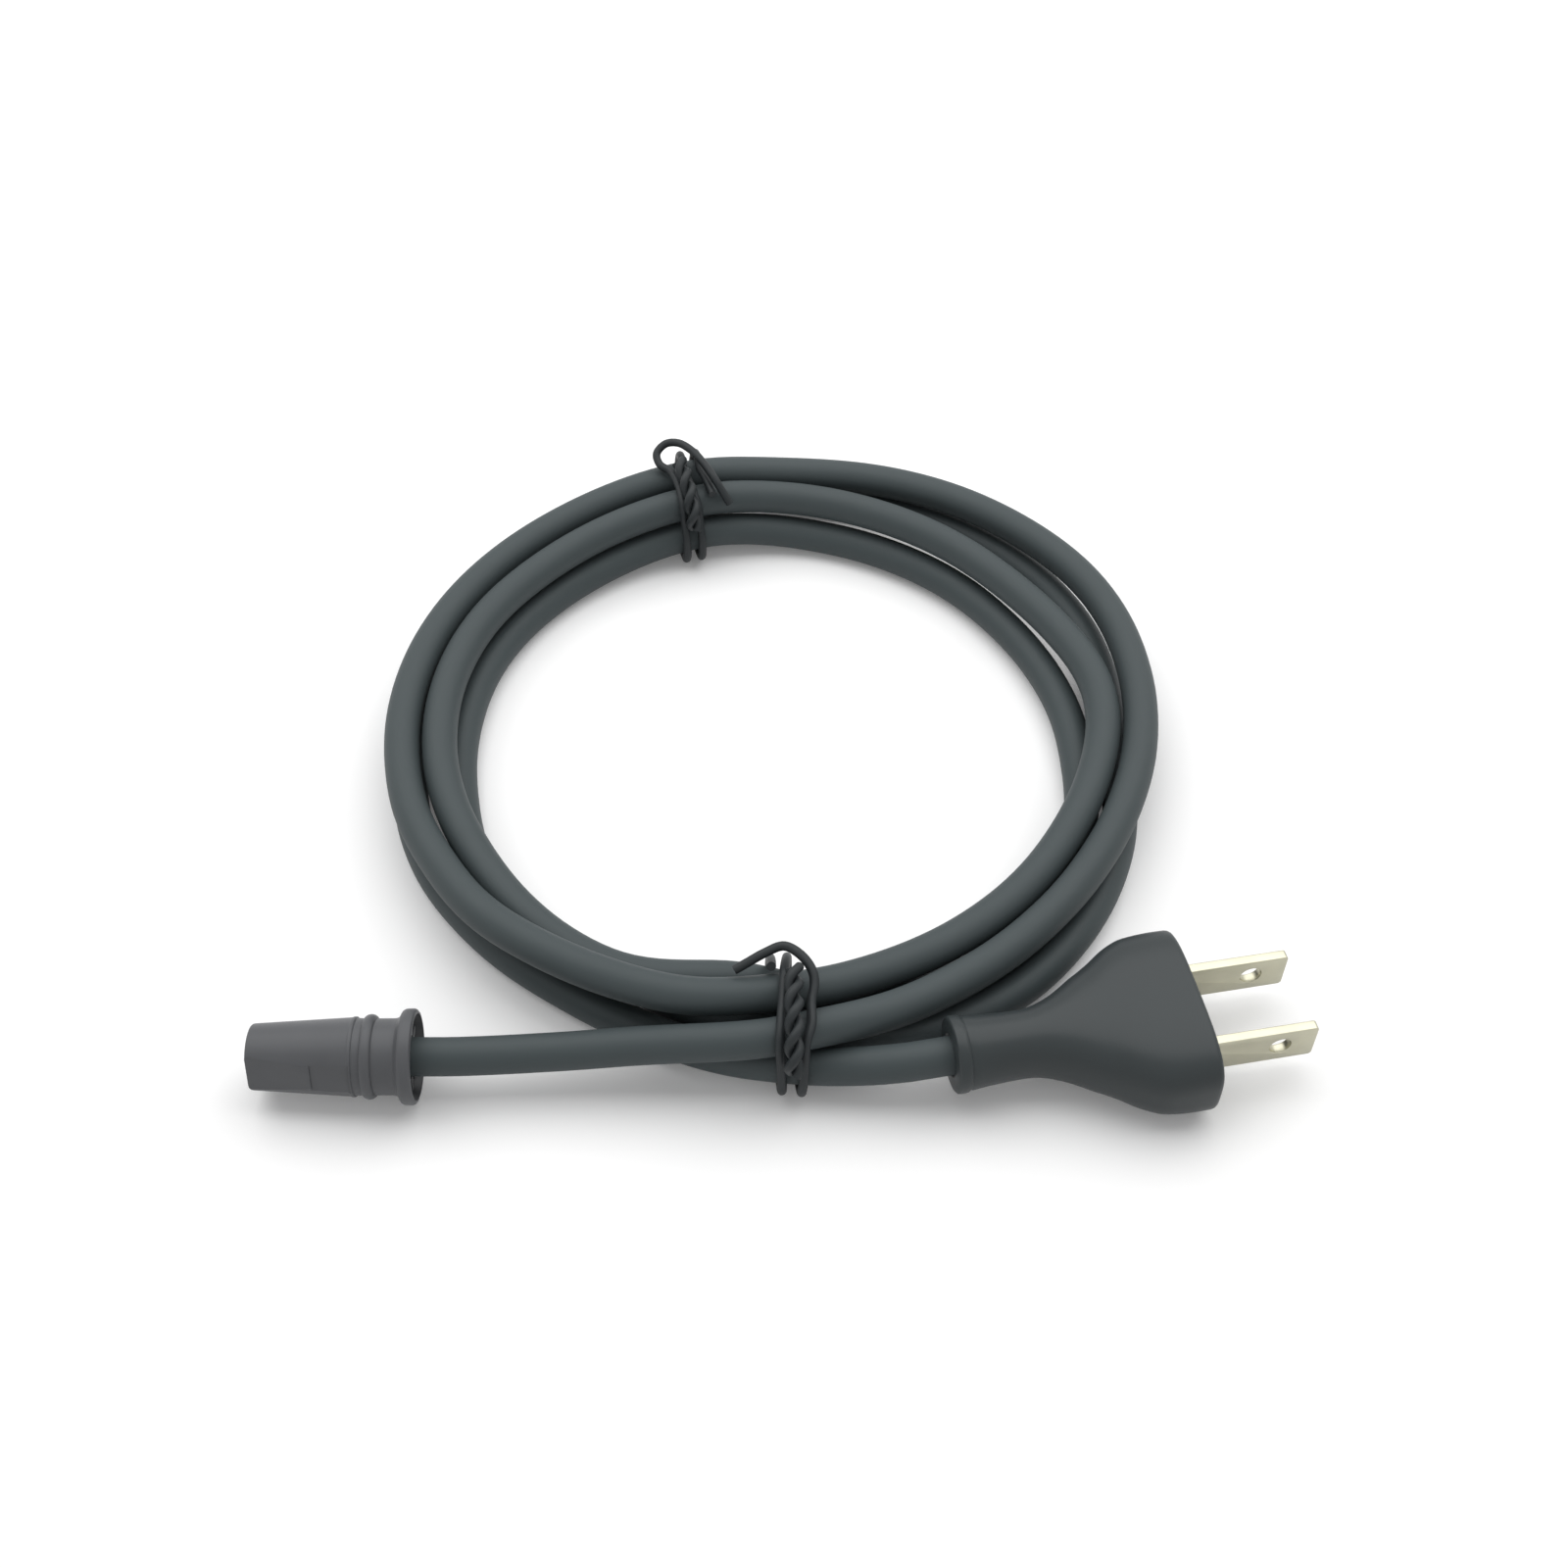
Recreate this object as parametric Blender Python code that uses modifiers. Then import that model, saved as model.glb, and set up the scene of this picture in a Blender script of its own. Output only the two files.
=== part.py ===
"""Power cord: a moulded two-blade plug, a round moulded connector, and their cord, coiled in four turns and
held by two twist ties. Metres, +Z up, standing on z = 0, with the plug at +X and the coil beyond it at +Y."""

import math

import bmesh
import bpy
import numpy as np
from mathutils import Euler, Matrix, Vector

MM = 0.001
GAP = 0.3 * MM
MERGE = 0.01 * MM

# Where the middle of the whole part lies in the layout that every place below is measured in
MIDDLE = Vector((0.17, 1.56, 0.0)) * MM

# Cord
CORD_DIA = 5.6 * MM
CORD_STEP = 8.0 * MM
TUBE_RESOLUTION = 2
TUBE_SHARP = math.radians(60)
COIL_CENTRE = Vector((-2.0, 8.0, 0.0)) * MM
STRAND_GAP = 0.4 * MM
FINE_STEP = 2.0 * MM
HELD_POINTS = 4
REST = CORD_DIA / 2 + 0.1 * MM

# Plug, measured along its own +X, from 0 at the blades' root
PLUG_AT = Vector((58.5, -51.05, 7.2)) * MM
PLUG_YAW = math.radians(11.3)
PLUG_PITCH = math.radians(1.2)
PLUG_FACE_X = 0.4 * MM
PLUG_LENGTH = 36.0 * MM
PLUG_WIDTH = 27.6 * MM
PLUG_THICKNESS = 14.2 * MM
PLUG_NECK_DIA = 9.8 * MM
PLUG_COLLAR_DIA = 11.2 * MM
PLUG_COLLAR_LENGTH = 2.1 * MM
PLUG_HEAD_LENGTH = 26.44 * MM
BLADE_WIDTH = 6.35 * MM
BLADE_THICKNESS = 1.5 * MM
BLADE_TIP_X = 16.6 * MM
BLADE_SPACING = 12.7 * MM
BLADE_HOLE_DIA = 3.2 * MM
BLADE_HOLE_X = 11.9 * MM
BRIDGE_LENGTH = 8.0 * MM
BRIDGE_WALL = 1.1 * MM
BRIDGE_WIDTH = BLADE_SPACING + BLADE_THICKNESS + 2 * (GAP + BRIDGE_WALL)
BRIDGE_THICKNESS = BLADE_WIDTH + 2 * (GAP + BRIDGE_WALL)
BRIDGE_INSET = 0.5 * MM
CRIMP_LENGTH = 4.0 * MM
CRIMP_NECK = 0.5 * MM
CRIMP_REST = 1.4 * MM
STRIP_LENGTH = 0.9 * MM
SPLAY_LENGTH = 10.6 * MM

# Connector, measured along its own +X, from 0 at its cord end
CONN_AT = Vector((-52.2, -57.6, 7.0)) * MM
CONN_YAW = math.pi
CONN_LENGTH = 23.6 * MM
CONN_FLANGE_DIA = 13.7 * MM
CONN_FLANGE_X = 2.0 * MM
CONN_NECK_DIA = 10.9 * MM
CONN_BEAD_DIA = 12.1 * MM
CONN_BEAD_X = 6.6 * MM
CONN_BEAD_WIDTH = 1.7 * MM
CONN_RING_X = 8.5 * MM
CONN_BODY_DIA = 11.2 * MM
CONN_NOSE_DIA = 9.5 * MM
CONN_CUP_DEPTH = 2.6 * MM
CONN_CUP_DIA = 11.0 * MM
CONN_RIBS = 12
CONN_FLAT_LENGTH = 9.2 * MM
CONN_FLAT_DEPTH = 1.2 * MM
CONN_FLAT_TILT = math.radians(26)
CONN_RECESS_DEPTH = 0.45 * MM
CORD_IN_CONN = 4.6 * MM
CONN_CORE_LENGTH = 4.3 * MM
CONTACT_STRIP = 1.1 * MM
CONTACT_TAIL = 3.0 * MM
CONTACT_SET_BACK = 1.6 * MM
CONTACT_CRIMP = 2.4 * MM
INSERT_DIA = 7.0 * MM
CONTACT_SPACING = 3.4 * MM
CONTACT_OUTER_DIA = 2.0 * MM
CONTACT_BORE_DIA = 1.2 * MM

# The two cores inside the cord
CORE_DIA = 2.2 * MM
STRAND_DIA = 1.0 * MM
CRIMP_OUTER_DIA = 2.6 * MM

# Twist ties
TIE_DIA = 1.4 * MM
TIE_STEP = 1.1 * MM
FRONT_TIE_ANGLE = -86.5
REAR_TIE_ANGLE = 104.0

# The cord's way from the connector to the coil, and from the coil to the plug, in millimetres
LEAD_IN = (
    (-48.0, -57.6, 7.0), (-41.8, -57.4, 7.0), (-34.5, -57.1, 7.3), (-28.0, -57.0, 7.8),
    (-22.4, -56.9, 8.6), (-14.5, -57.2, 9.7), (-7.8, -57.3, 10.3), (-1.4, -57.0, 10.8),
)
LEAD_OUT = (
    (0.5, -57.4, 4.9), (5.5, -57.85, 5.1), (10.5, -58.75, 6.2), (15.0, -59.25, 7.4), (19.3, -58.88, 7.98),
)

# The four turns, each station a clock angle from +X in degrees, a radius and a height in millimetres
TURNS = (
    # first: outside, on top
    ((-82, 62.9, 9.8), (-74, 61.9, 9.2), (-67, 60.8, 8.9), (-55, 59.6, 8.8), (-41, 58.6, 8.8),
     (-25, 58.5, 8.8), (-14, 58.6, 8.8), (-4, 59.3, 8.8), (6, 60.2, 8.8), (20, 61.2, 8.9), (32, 61.5, 9.0),
     (46, 61.0, 8.9), (60, 60.4, 8.8), (75, 59.2, 8.8), (90, 57.6, 9.4), (104, 57.1, 10.8),
     (120, 58.0, 9.4), (140, 58.5, 8.8), (160, 59.0, 8.8), (180, 59.4, 8.9), (200, 59.9, 9.2),
     (213, 59.9, 10.0), (224, 60.6, 11.0), (235, 60.6, 12.3), (247, 60.5, 12.7), (259, 59.8, 12.0)),
    # second: inside, on top
    ((272, 57.1, 10.8), (282, 55.2, 9.3), (300, 53.6, 8.8), (320, 52.7, 8.7), (344, 53.0, 8.8),
     (356, 53.7, 8.8), (368, 54.0, 8.9), (382, 53.0, 8.6), (395, 51.6, 8.0), (410, 51.9, 8.1),
     (425, 51.9, 8.6), (440, 51.8, 8.8), (452, 51.5, 9.4), (464, 50.7, 10.6), (482, 51.4, 9.4),
     (500, 51.9, 8.8), (517, 52.7, 8.8), (534, 52.7, 8.8), (550, 52.0, 8.9), (562, 51.7, 9.0),
     (573, 52.6, 9.0), (584, 54.2, 9.1), (595, 55.9, 9.0), (607, 56.3, 8.5), (618, 55.0, 8.5)),
    # third: inside, on the floor
    ((631, 52.8, 5.6), (641, 54.5, 3.6), (652, 56.2, 2.9), (663, 56.7, 2.9), (676, 55.3, 2.9),
     (690, 53.4, 2.9), (702, 51.3, 2.9), (713, 49.6, 2.9), (724, 48.6, 2.9), (736, 47.4, 2.9),
     (750, 46.6, 2.9), (768, 47.3, 2.9), (785, 48.0, 2.9), (800, 48.8, 2.9), (812, 49.0, 4.0),
     (824, 48.8, 5.2), (840, 49.4, 3.8), (860, 50.0, 2.9), (880, 50.5, 2.9), (900, 50.7, 2.9),
     (917, 51.6, 2.9), (930, 53.2, 2.9), (945, 53.7, 2.9), (957, 53.5, 2.9), (968, 53.8, 3.0),
     (979, 55.9, 3.8)),
    # fourth: outside, on the floor
    ((992, 59.0, 5.3), (1002, 61.2, 3.9), (1014, 62.8, 2.9), (1027, 62.9, 2.9), (1042, 61.4, 2.9),
     (1056, 59.8, 2.9), (1068, 57.6, 2.9), (1080, 55.8, 2.9), (1090, 55.0, 2.9), (1100, 56.2, 2.9),
     (1110, 59.0, 2.9), (1121, 61.6, 2.9), (1132, 61.8, 2.9), (1145, 60.3, 2.9), (1160, 58.8, 2.9),
     (1172, 57.8, 4.0), (1184, 57.0, 5.3), (1200, 57.6, 3.8), (1220, 58.0, 2.9), (1240, 58.2, 2.9),
     (1260, 58.4, 2.9), (1276, 59.4, 2.9), (1290, 59.8, 2.9), (1305, 59.4, 2.9), (1322, 59.7, 2.9),
     (1334, 62.2, 3.0), (1345, 64.4, 4.3)),
)


def clear_scene():
    for obj in list(bpy.data.objects):
        bpy.data.objects.remove(obj, do_unlink=True)


def collection(name):
    made = bpy.data.collections.new(name)
    bpy.context.scene.collection.children.link(made)
    return made


def material(name, colour, roughness, metallic=0.0):
    made = bpy.data.materials.new(name)
    made.use_nodes = True
    shader = made.node_tree.nodes["Principled BSDF"]
    shader.inputs["Base Color"].default_value = (*colour, 1.0)
    shader.inputs["Roughness"].default_value = roughness
    shader.inputs["Metallic"].default_value = metallic
    return made


def add_mesh(name, mesh, finish, home, parent=None, sharp=math.radians(35)):
    if finish is not None:
        mesh.materials.clear()
        mesh.materials.append(finish)
    mesh.shade_smooth()
    mesh.set_sharp_from_angle(angle=sharp)
    obj = bpy.data.objects.new(name, mesh)
    home.objects.link(obj)
    obj.parent = parent
    return obj


def mesh_from(bm, name):
    bmesh.ops.recalc_face_normals(bm, faces=bm.faces)
    mesh = bpy.data.meshes.new(name)
    bm.to_mesh(mesh)
    bm.free()
    return mesh


def place(name, at, rotation, home):
    """An empty that carries one moulding and all that is in it."""
    empty = bpy.data.objects.new(name, None)
    empty.location = at - MIDDLE
    empty.rotation_euler = rotation
    home.objects.link(empty)
    return empty


def mesh_of_curve(name, points, radius):
    """A round tube of eight sides through the points, as one welded mesh."""
    curve = bpy.data.curves.new(name, "CURVE")
    curve.dimensions = "3D"
    spline = curve.splines.new("POLY")
    spline.points.add(len(points) - 1)
    for point, at in zip(spline.points, points):
        point.co = (*at, 1.0)
    curve.bevel_depth = radius
    curve.bevel_resolution = TUBE_RESOLUTION
    curve.use_fill_caps = True
    curve.twist_mode = "MINIMUM"
    guide = bpy.data.objects.new(name + "_guide", curve)
    bpy.context.scene.collection.objects.link(guide)
    bpy.context.view_layer.update()
    mesh = bpy.data.meshes.new_from_object(guide.evaluated_get(bpy.context.evaluated_depsgraph_get()))
    bpy.data.objects.remove(guide, do_unlink=True)
    bpy.data.curves.remove(curve)
    bm = bmesh.new()
    bm.from_mesh(mesh)
    bmesh.ops.remove_doubles(bm, verts=bm.verts, dist=MERGE)
    bpy.data.meshes.remove(mesh)
    return mesh_from(bm, name)


def turned(name, profile, steps, home, finish=None, parent=None):
    """A profile of (x, radius) pairs turned once about the X axis, with its two ends on the axis."""
    mesh = bpy.data.meshes.new(name)
    edges = [(spot, spot + 1) for spot in range(len(profile) - 1)]
    mesh.from_pydata([(x, 0.0, radius) for x, radius in reversed(profile)], edges, [])
    obj = add_mesh(name, mesh, finish, home, parent)
    screw = obj.modifiers.new("turn", "SCREW")
    screw.axis = "X"
    screw.steps = steps
    screw.render_steps = steps
    screw.use_merge_vertices = True
    screw.merge_threshold = MERGE
    return obj


def box(name, low, high, home, finish=None, parent=None, bevel=0.0):
    """A box between two corners, its edges rounded where a bevel is given."""
    bm = bmesh.new()
    size = Vector(high) - Vector(low)
    middle = (Vector(high) + Vector(low)) / 2
    bmesh.ops.create_cube(bm, size=1.0, matrix=Matrix.Translation(middle) @ Matrix.Diagonal((*size, 1.0)))
    if bevel:
        bmesh.ops.bevel(bm, geom=bm.edges[:], offset=bevel, segments=2, profile=0.5, affect="EDGES")
    return add_mesh(name, mesh_from(bm, name), finish, home, parent)


def cylinder(name, radius, start, end, sides, home, finish=None, parent=None):
    """A cylinder between two points."""
    start, end = Vector(start), Vector(end)
    along = end - start
    turn = along.to_track_quat("Z", "Y").to_matrix().to_4x4()
    bm = bmesh.new()
    bmesh.ops.create_cone(
        bm, cap_ends=True, segments=sides, radius1=radius, radius2=radius, depth=along.length,
        matrix=Matrix.Translation((start + end) / 2) @ turn,
    )
    return add_mesh(name, mesh_from(bm, name), finish, home, parent)


def helper(obj):
    obj.hide_render = True
    obj.display_type = "WIRE"
    return obj


def change(obj, kind, tool):
    modifier = obj.modifiers.new(f"{kind.lower()} {tool.name}", "BOOLEAN")
    modifier.operation = kind
    modifier.solver = "EXACT"
    modifier.object = tool


# The cord's route


def station(angle, radius, height):
    turn = math.radians(angle)
    return COIL_CENTRE + Vector((radius * math.cos(turn), radius * math.sin(turn), height)) * MM


def smooth_curve(points, pieces=10):
    """Points along a centripetal Catmull-Rom curve through the given ones."""
    ends = [2 * points[0] - points[1], *points, 2 * points[-1] - points[-2]]
    found = []
    for p0, p1, p2, p3 in zip(ends, ends[1:], ends[2:], ends[3:]):
        t1 = math.sqrt((p1 - p0).length)
        t2 = t1 + math.sqrt((p2 - p1).length)
        t3 = t2 + math.sqrt((p3 - p2).length)
        for step in range(pieces):
            t = t1 + (t2 - t1) * step / pieces
            a1 = p0.lerp(p1, t / t1)
            a2 = p1.lerp(p2, (t - t1) / (t2 - t1))
            a3 = p2.lerp(p3, (t - t2) / (t3 - t2))
            b1 = a1.lerp(a2, t / t2)
            b2 = a2.lerp(a3, (t - t1) / (t3 - t1))
            found.append(b1.lerp(b2, (t - t1) / (t2 - t1)))
    found.append(points[-1])
    return np.array(found)


def evenly(points, step):
    """The same line with its points a step apart."""
    along = np.r_[0.0, np.cumsum(np.linalg.norm(np.diff(points, axis=0), axis=1))]
    spots = np.linspace(0.0, along[-1], int(round(along[-1] / step)) + 1)
    return np.stack([np.interp(spots, along, points[:, axis]) for axis in range(3)], axis=1)


def ease_apart(points, apart, held, rounds=60):
    """Pushes strands that lie closer than apart away from each other, over the floor. The ends are held."""
    points = points.copy()
    step = np.linalg.norm(points[1] - points[0])
    place_on_cord = np.arange(len(points)) * step
    other = np.abs(place_on_cord[:, None] - place_on_cord[None]) > 3 * CORD_DIA
    for _ in range(rounds):
        between = points[:, None] - points[None]
        distance = np.linalg.norm(between, axis=2) + 1e-9
        short = np.where(other & (distance < apart), apart - distance, 0.0)
        push = (between / distance[..., None] * short[..., None]).sum(axis=1)
        push *= 0.6 / np.maximum((short > 0).sum(axis=1), 1)[:, None]
        push[:held] = 0.0
        push[-held:] = 0.0
        for _ in range(3):
            push[1:-1] = (push[:-2] + 2 * push[1:-1] + push[2:]) / 4
        points += push
        bend = (points[:-2] + points[2:]) / 2 - points[1:-1]
        points[held:-held] += 0.05 * bend[held - 1:1 - held]
        points[:, 2] = np.maximum(points[:, 2], REST)
    return points


def plug_places():
    """Where the bridge starts, and where the cord ends, on the plug's own X."""
    bridge_back = PLUG_FACE_X - BRIDGE_INSET - BRIDGE_LENGTH
    return bridge_back, bridge_back - CRIMP_LENGTH - STRIP_LENGTH - SPLAY_LENGTH


def plug_frame():
    return Matrix.Translation(PLUG_AT) @ Euler((0.0, PLUG_PITCH, PLUG_YAW)).to_matrix().to_4x4()


def cord_route():
    """The cord's centre line: straight inside each moulding, and a smooth way between the two mouths."""
    into_plug = plug_frame()
    collar = PLUG_FACE_X - PLUG_LENGTH
    in_connector = CONN_AT - Vector((CORD_IN_CONN, 0.0, 0.0))
    in_plug = into_plug @ Vector((plug_places()[1], 0.0, 0.0))
    points = [CONN_AT]
    points += [Vector(point) * MM for point in LEAD_IN]
    points += [station(*spot) for turn in TURNS for spot in turn]
    points += [Vector(point) * MM for point in LEAD_OUT]
    points.append(into_plug @ Vector((collar, 0.0, 0.0)))
    fine = evenly(smooth_curve(points), FINE_STEP)
    free = evenly(ease_apart(fine, CORD_DIA + STRAND_GAP, HELD_POINTS), CORD_STEP)
    return np.vstack([in_connector, free, in_plug]) - np.array(MIDDLE)


def make_cord(home):
    sheath = material("cord sheath", (0.075, 0.095, 0.105), 0.42)
    mesh = mesh_of_curve("cord", cord_route(), CORD_DIA / 2)
    return add_mesh("cord", mesh, sheath, home, sharp=TUBE_SHARP)


# The plug


def plug_sections():
    """Stations along the plug: place, half width, half thickness and squareness of the section."""
    back = PLUG_FACE_X - PLUG_LENGTH
    neck = PLUG_NECK_DIA / 2
    collar = PLUG_COLLAR_DIA / 2
    wide, thick = PLUG_WIDTH / 2, PLUG_THICKNESS / 2
    rows = [
        (back, collar - 0.4 * MM, collar - 0.4 * MM, 2.0),
        (back + 0.4 * MM, collar, collar, 2.0),
        (back + PLUG_COLLAR_LENGTH - 0.4 * MM, collar, collar, 2.0),
        (back + PLUG_COLLAR_LENGTH, collar - 0.3 * MM, collar - 0.3 * MM, 2.0),
    ]
    # share of the neck or of the head, and of the step from neck to full width and thickness
    face = PLUG_FACE_X
    collar_end = back + PLUG_COLLAR_LENGTH
    head_start = face - PLUG_HEAD_LENGTH
    waist = ((0.045, 0.05, 0.20, 2.0), (0.41, 0.02, 0.09, 2.0), (1.0, 0.0, 0.0, 2.0))
    flare = (
        (0.135, 0.011, 0.02, 2.05), (0.256, 0.124, 0.18, 2.2), (0.321, 0.25, 0.29, 2.3), (0.379, 0.393, 0.41, 2.4),
        (0.446, 0.545, 0.53, 2.5), (0.513, 0.675, 0.64, 2.7), (0.577, 0.81, 0.74, 2.9), (0.641, 0.905, 0.83, 3.0),
        (0.705, 0.965, 0.90, 3.1), (0.782, 0.992, 0.95, 3.2), (0.872, 1.0, 0.98, 3.3),
    )
    for start, end, stations in ((collar_end, head_start, waist), (head_start, face, flare)):
        for share, out, up, square in stations:
            spot = start + share * (end - start)
            rows.append((spot, neck + out * (wide - neck), neck + up * (thick - neck), square))
    rows += [
        (face - 0.9 * MM, wide - 0.05 * MM, thick, 3.3),
        (face - 0.25 * MM, wide - 0.3 * MM, thick - 0.2 * MM, 3.3),
        (face, wide - 0.8 * MM, thick - 0.7 * MM, 3.3),
    ]
    return rows


def lofted_housing(rows, sides=40):
    """The plug's outer skin: squared ellipses joined in order, with flat ends."""
    bm = bmesh.new()
    rings = []
    for spot, wide, thick, square in rows:
        ring = []
        for step in range(sides):
            turn = math.tau * step / sides
            across, up = math.cos(turn), math.sin(turn)
            y = math.copysign(abs(across) ** (2 / square), across) * wide
            z = math.copysign(abs(up) ** (2 / square), up) * thick
            ring.append(bm.verts.new((spot, y, z)))
        rings.append(ring)
    for first, second in zip(rings, rings[1:]):
        for step in range(sides):
            after = (step + 1) % sides
            bm.faces.new((first[step], first[after], second[after], second[step]))
    bm.faces.new(rings[0])
    bm.faces.new(rings[-1])
    return mesh_from(bm, "plug_housing")


def make_plug(home, cutters):
    at = place("plug_place", PLUG_AT, (0.0, PLUG_PITCH, PLUG_YAW), home)
    moulding = material("plug moulding", (0.052, 0.056, 0.062), 0.38)
    back = PLUG_FACE_X - PLUG_LENGTH
    front = PLUG_FACE_X - BRIDGE_INSET
    bridge_back, cord_end = plug_places()
    core_y = CORE_DIA / 2 + GAP / 2
    blade_y = BLADE_SPACING / 2

    housing = add_mesh("plug_housing", lofted_housing(plug_sections()), moulding, home, at)
    # the pocket behind the face, the crimp room behind it, the splay of the cores and the cord's bore
    pocket = box(
        "plug_pocket_cut",
        (bridge_back, -BRIDGE_WIDTH / 2 - GAP, -BRIDGE_THICKNESS / 2 - GAP),
        (PLUG_FACE_X + 2 * MM, BRIDGE_WIDTH / 2 + GAP, BRIDGE_THICKNESS / 2 + GAP),
        cutters, parent=at,
    )
    room_half = CRIMP_OUTER_DIA / 2 + GAP
    room_back = bridge_back - CRIMP_LENGTH - CRIMP_REST
    room = box(
        "plug_room_cut",
        (room_back, -blade_y - room_half, -room_half),
        (bridge_back + MM, blade_y + room_half, room_half),
        cutters, parent=at,
    )
    bore = cylinder(
        "plug_bore_cut", CORD_DIA / 2 + GAP, (back - MM, 0, 0), (cord_end + GAP, 0, 0), 24, cutters, parent=at
    )
    crimp_back = bridge_back - CRIMP_LENGTH
    strand_start = crimp_back - STRIP_LENGTH
    core_way = bend_between((cord_end + GAP, core_y), (strand_start - GAP, blade_y))
    half_core = CORE_DIA / 2 + 1.5 * GAP
    widths = [(cord_end, core_y + half_core)] + [(x, y + half_core) for x, y, _ in core_way]
    splay = loft_slot("plug_splay_cut", widths, half_core, cutters, at)
    for tool in (pocket, room, bore, splay):
        change(housing, "DIFFERENCE", helper(tool))

    bridge = box(
        "plug_bridge",
        (bridge_back + CRIMP_NECK + GAP, -BRIDGE_WIDTH / 2, -BRIDGE_THICKNESS / 2),
        (front, BRIDGE_WIDTH / 2, BRIDGE_THICKNESS / 2),
        home, material("bridge plastic", (0.10, 0.105, 0.11), 0.5), at, bevel=0.4 * MM,
    )
    nickel = material("blade metal", (0.62, 0.58, 0.47), 0.3, 1.0)
    insulation = (material("core insulation brown", (0.16, 0.07, 0.03), 0.5),
                  material("core insulation blue", (0.03, 0.10, 0.35), 0.5))
    copper = material("copper strands", (0.72, 0.33, 0.18), 0.35, 1.0)
    for side, pole, skin in ((1, "line", insulation[0]), (-1, "neutral", insulation[1])):
        y = side * blade_y
        slot = box(
            f"bridge_slot_cut_{pole}",
            (bridge_back - MM, y - BLADE_THICKNESS / 2 - GAP, -BLADE_WIDTH / 2 - GAP),
            (front + MM, y + BLADE_THICKNESS / 2 + GAP, BLADE_WIDTH / 2 + GAP),
            cutters, parent=at,
        )
        change(bridge, "DIFFERENCE", helper(slot))
        make_blade(pole, y, bridge_back, home, cutters, nickel, at)
        core_points = [(x, side * out, z) for x, out, z in core_way]
        core = mesh_of_curve(f"plug_core_{pole}", core_points, CORE_DIA / 2)
        add_mesh(f"plug_core_{pole}", core, skin, home, at)
        cylinder(
            f"plug_strands_{pole}", STRAND_DIA / 2, (strand_start, y, 0), (bridge_back - 0.8 * MM, y, 0), 12,
            home, copper, at,
        )
    return at


def loft_slot(name, stations, half_z, home, at):
    """A flat slot that widens along the axis, from (x, half width) pairs, for the cores to spread in."""
    bm = bmesh.new()
    rings = []
    for x, half in stations:
        rings.append([bm.verts.new((x, y, z)) for y, z in
                      ((-half, -half_z), (half, -half_z), (half, half_z), (-half, half_z))])
    for first, second in zip(rings, rings[1:]):
        for step in range(4):
            after = (step + 1) % 4
            bm.faces.new((first[step], first[after], second[after], second[step]))
    bm.faces.new(rings[0])
    bm.faces.new(rings[-1])
    return add_mesh(name, mesh_from(bm, name), None, home, at)


def bend_between(start, end, steps=8):
    """An S-shaped way from one (x, y) to another that leaves and arrives along X."""
    points = []
    for step in range(steps + 1):
        share = step / steps
        ease = share * share * (3 - 2 * share)
        points.append((start[0] + share * (end[0] - start[0]), start[1] + ease * (end[1] - start[1]), 0.0))
    return points


def make_blade(pole, y, bridge_back, home, cutters, finish, at):
    """One stamped blade: its hole, its chamfered tip, and the rolled crimp barrel on its tail."""
    tip = 1.6 * MM
    half = BLADE_WIDTH / 2
    outline = (
        (bridge_back + GAP, -half), (BLADE_TIP_X - tip, -half), (BLADE_TIP_X, -half + tip * 0.8),
        (BLADE_TIP_X, half - tip * 0.8), (BLADE_TIP_X - tip, half), (bridge_back + GAP, half),
    )
    bm = bmesh.new()
    side = [bm.verts.new((x, y - BLADE_THICKNESS / 2, z)) for x, z in outline]
    face = bm.faces.new(side)
    grown = bmesh.ops.extrude_face_region(bm, geom=[face])
    moved = [item for item in grown["geom"] if isinstance(item, bmesh.types.BMVert)]
    bmesh.ops.translate(bm, verts=moved, vec=(0, BLADE_THICKNESS, 0))
    long_edges = [edge for edge in bm.edges if abs(edge.verts[0].co.y - edge.verts[1].co.y) < 1e-7
                  and max(vert.co.x for vert in edge.verts) > bridge_back + MM]
    bmesh.ops.bevel(bm, geom=long_edges, offset=0.3 * MM, segments=2, profile=0.5, affect="EDGES")
    blade = add_mesh(f"plug_blade_{pole}", mesh_from(bm, f"plug_blade_{pole}"), finish, home, at)
    hole = cylinder(
        f"blade_hole_cut_{pole}", BLADE_HOLE_DIA / 2, (BLADE_HOLE_X, y - 3 * MM, 0), (BLADE_HOLE_X, y + 3 * MM, 0),
        24, cutters, parent=at,
    )
    change(blade, "DIFFERENCE", helper(hole))
    barrel = cylinder(
        f"crimp_{pole}", CRIMP_OUTER_DIA / 2, (bridge_back - CRIMP_LENGTH, y, 0), (bridge_back + CRIMP_NECK, y, 0), 16,
        cutters, parent=at,
    )
    change(blade, "UNION", helper(barrel))
    inside = cylinder(
        f"crimp_bore_{pole}", STRAND_DIA / 2 + GAP, (bridge_back - CRIMP_LENGTH - MM, y, 0),
        (bridge_back - 0.5 * MM, y, 0), 16, cutters, parent=at,
    )
    change(blade, "DIFFERENCE", helper(inside))
    return blade


# The connector


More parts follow.
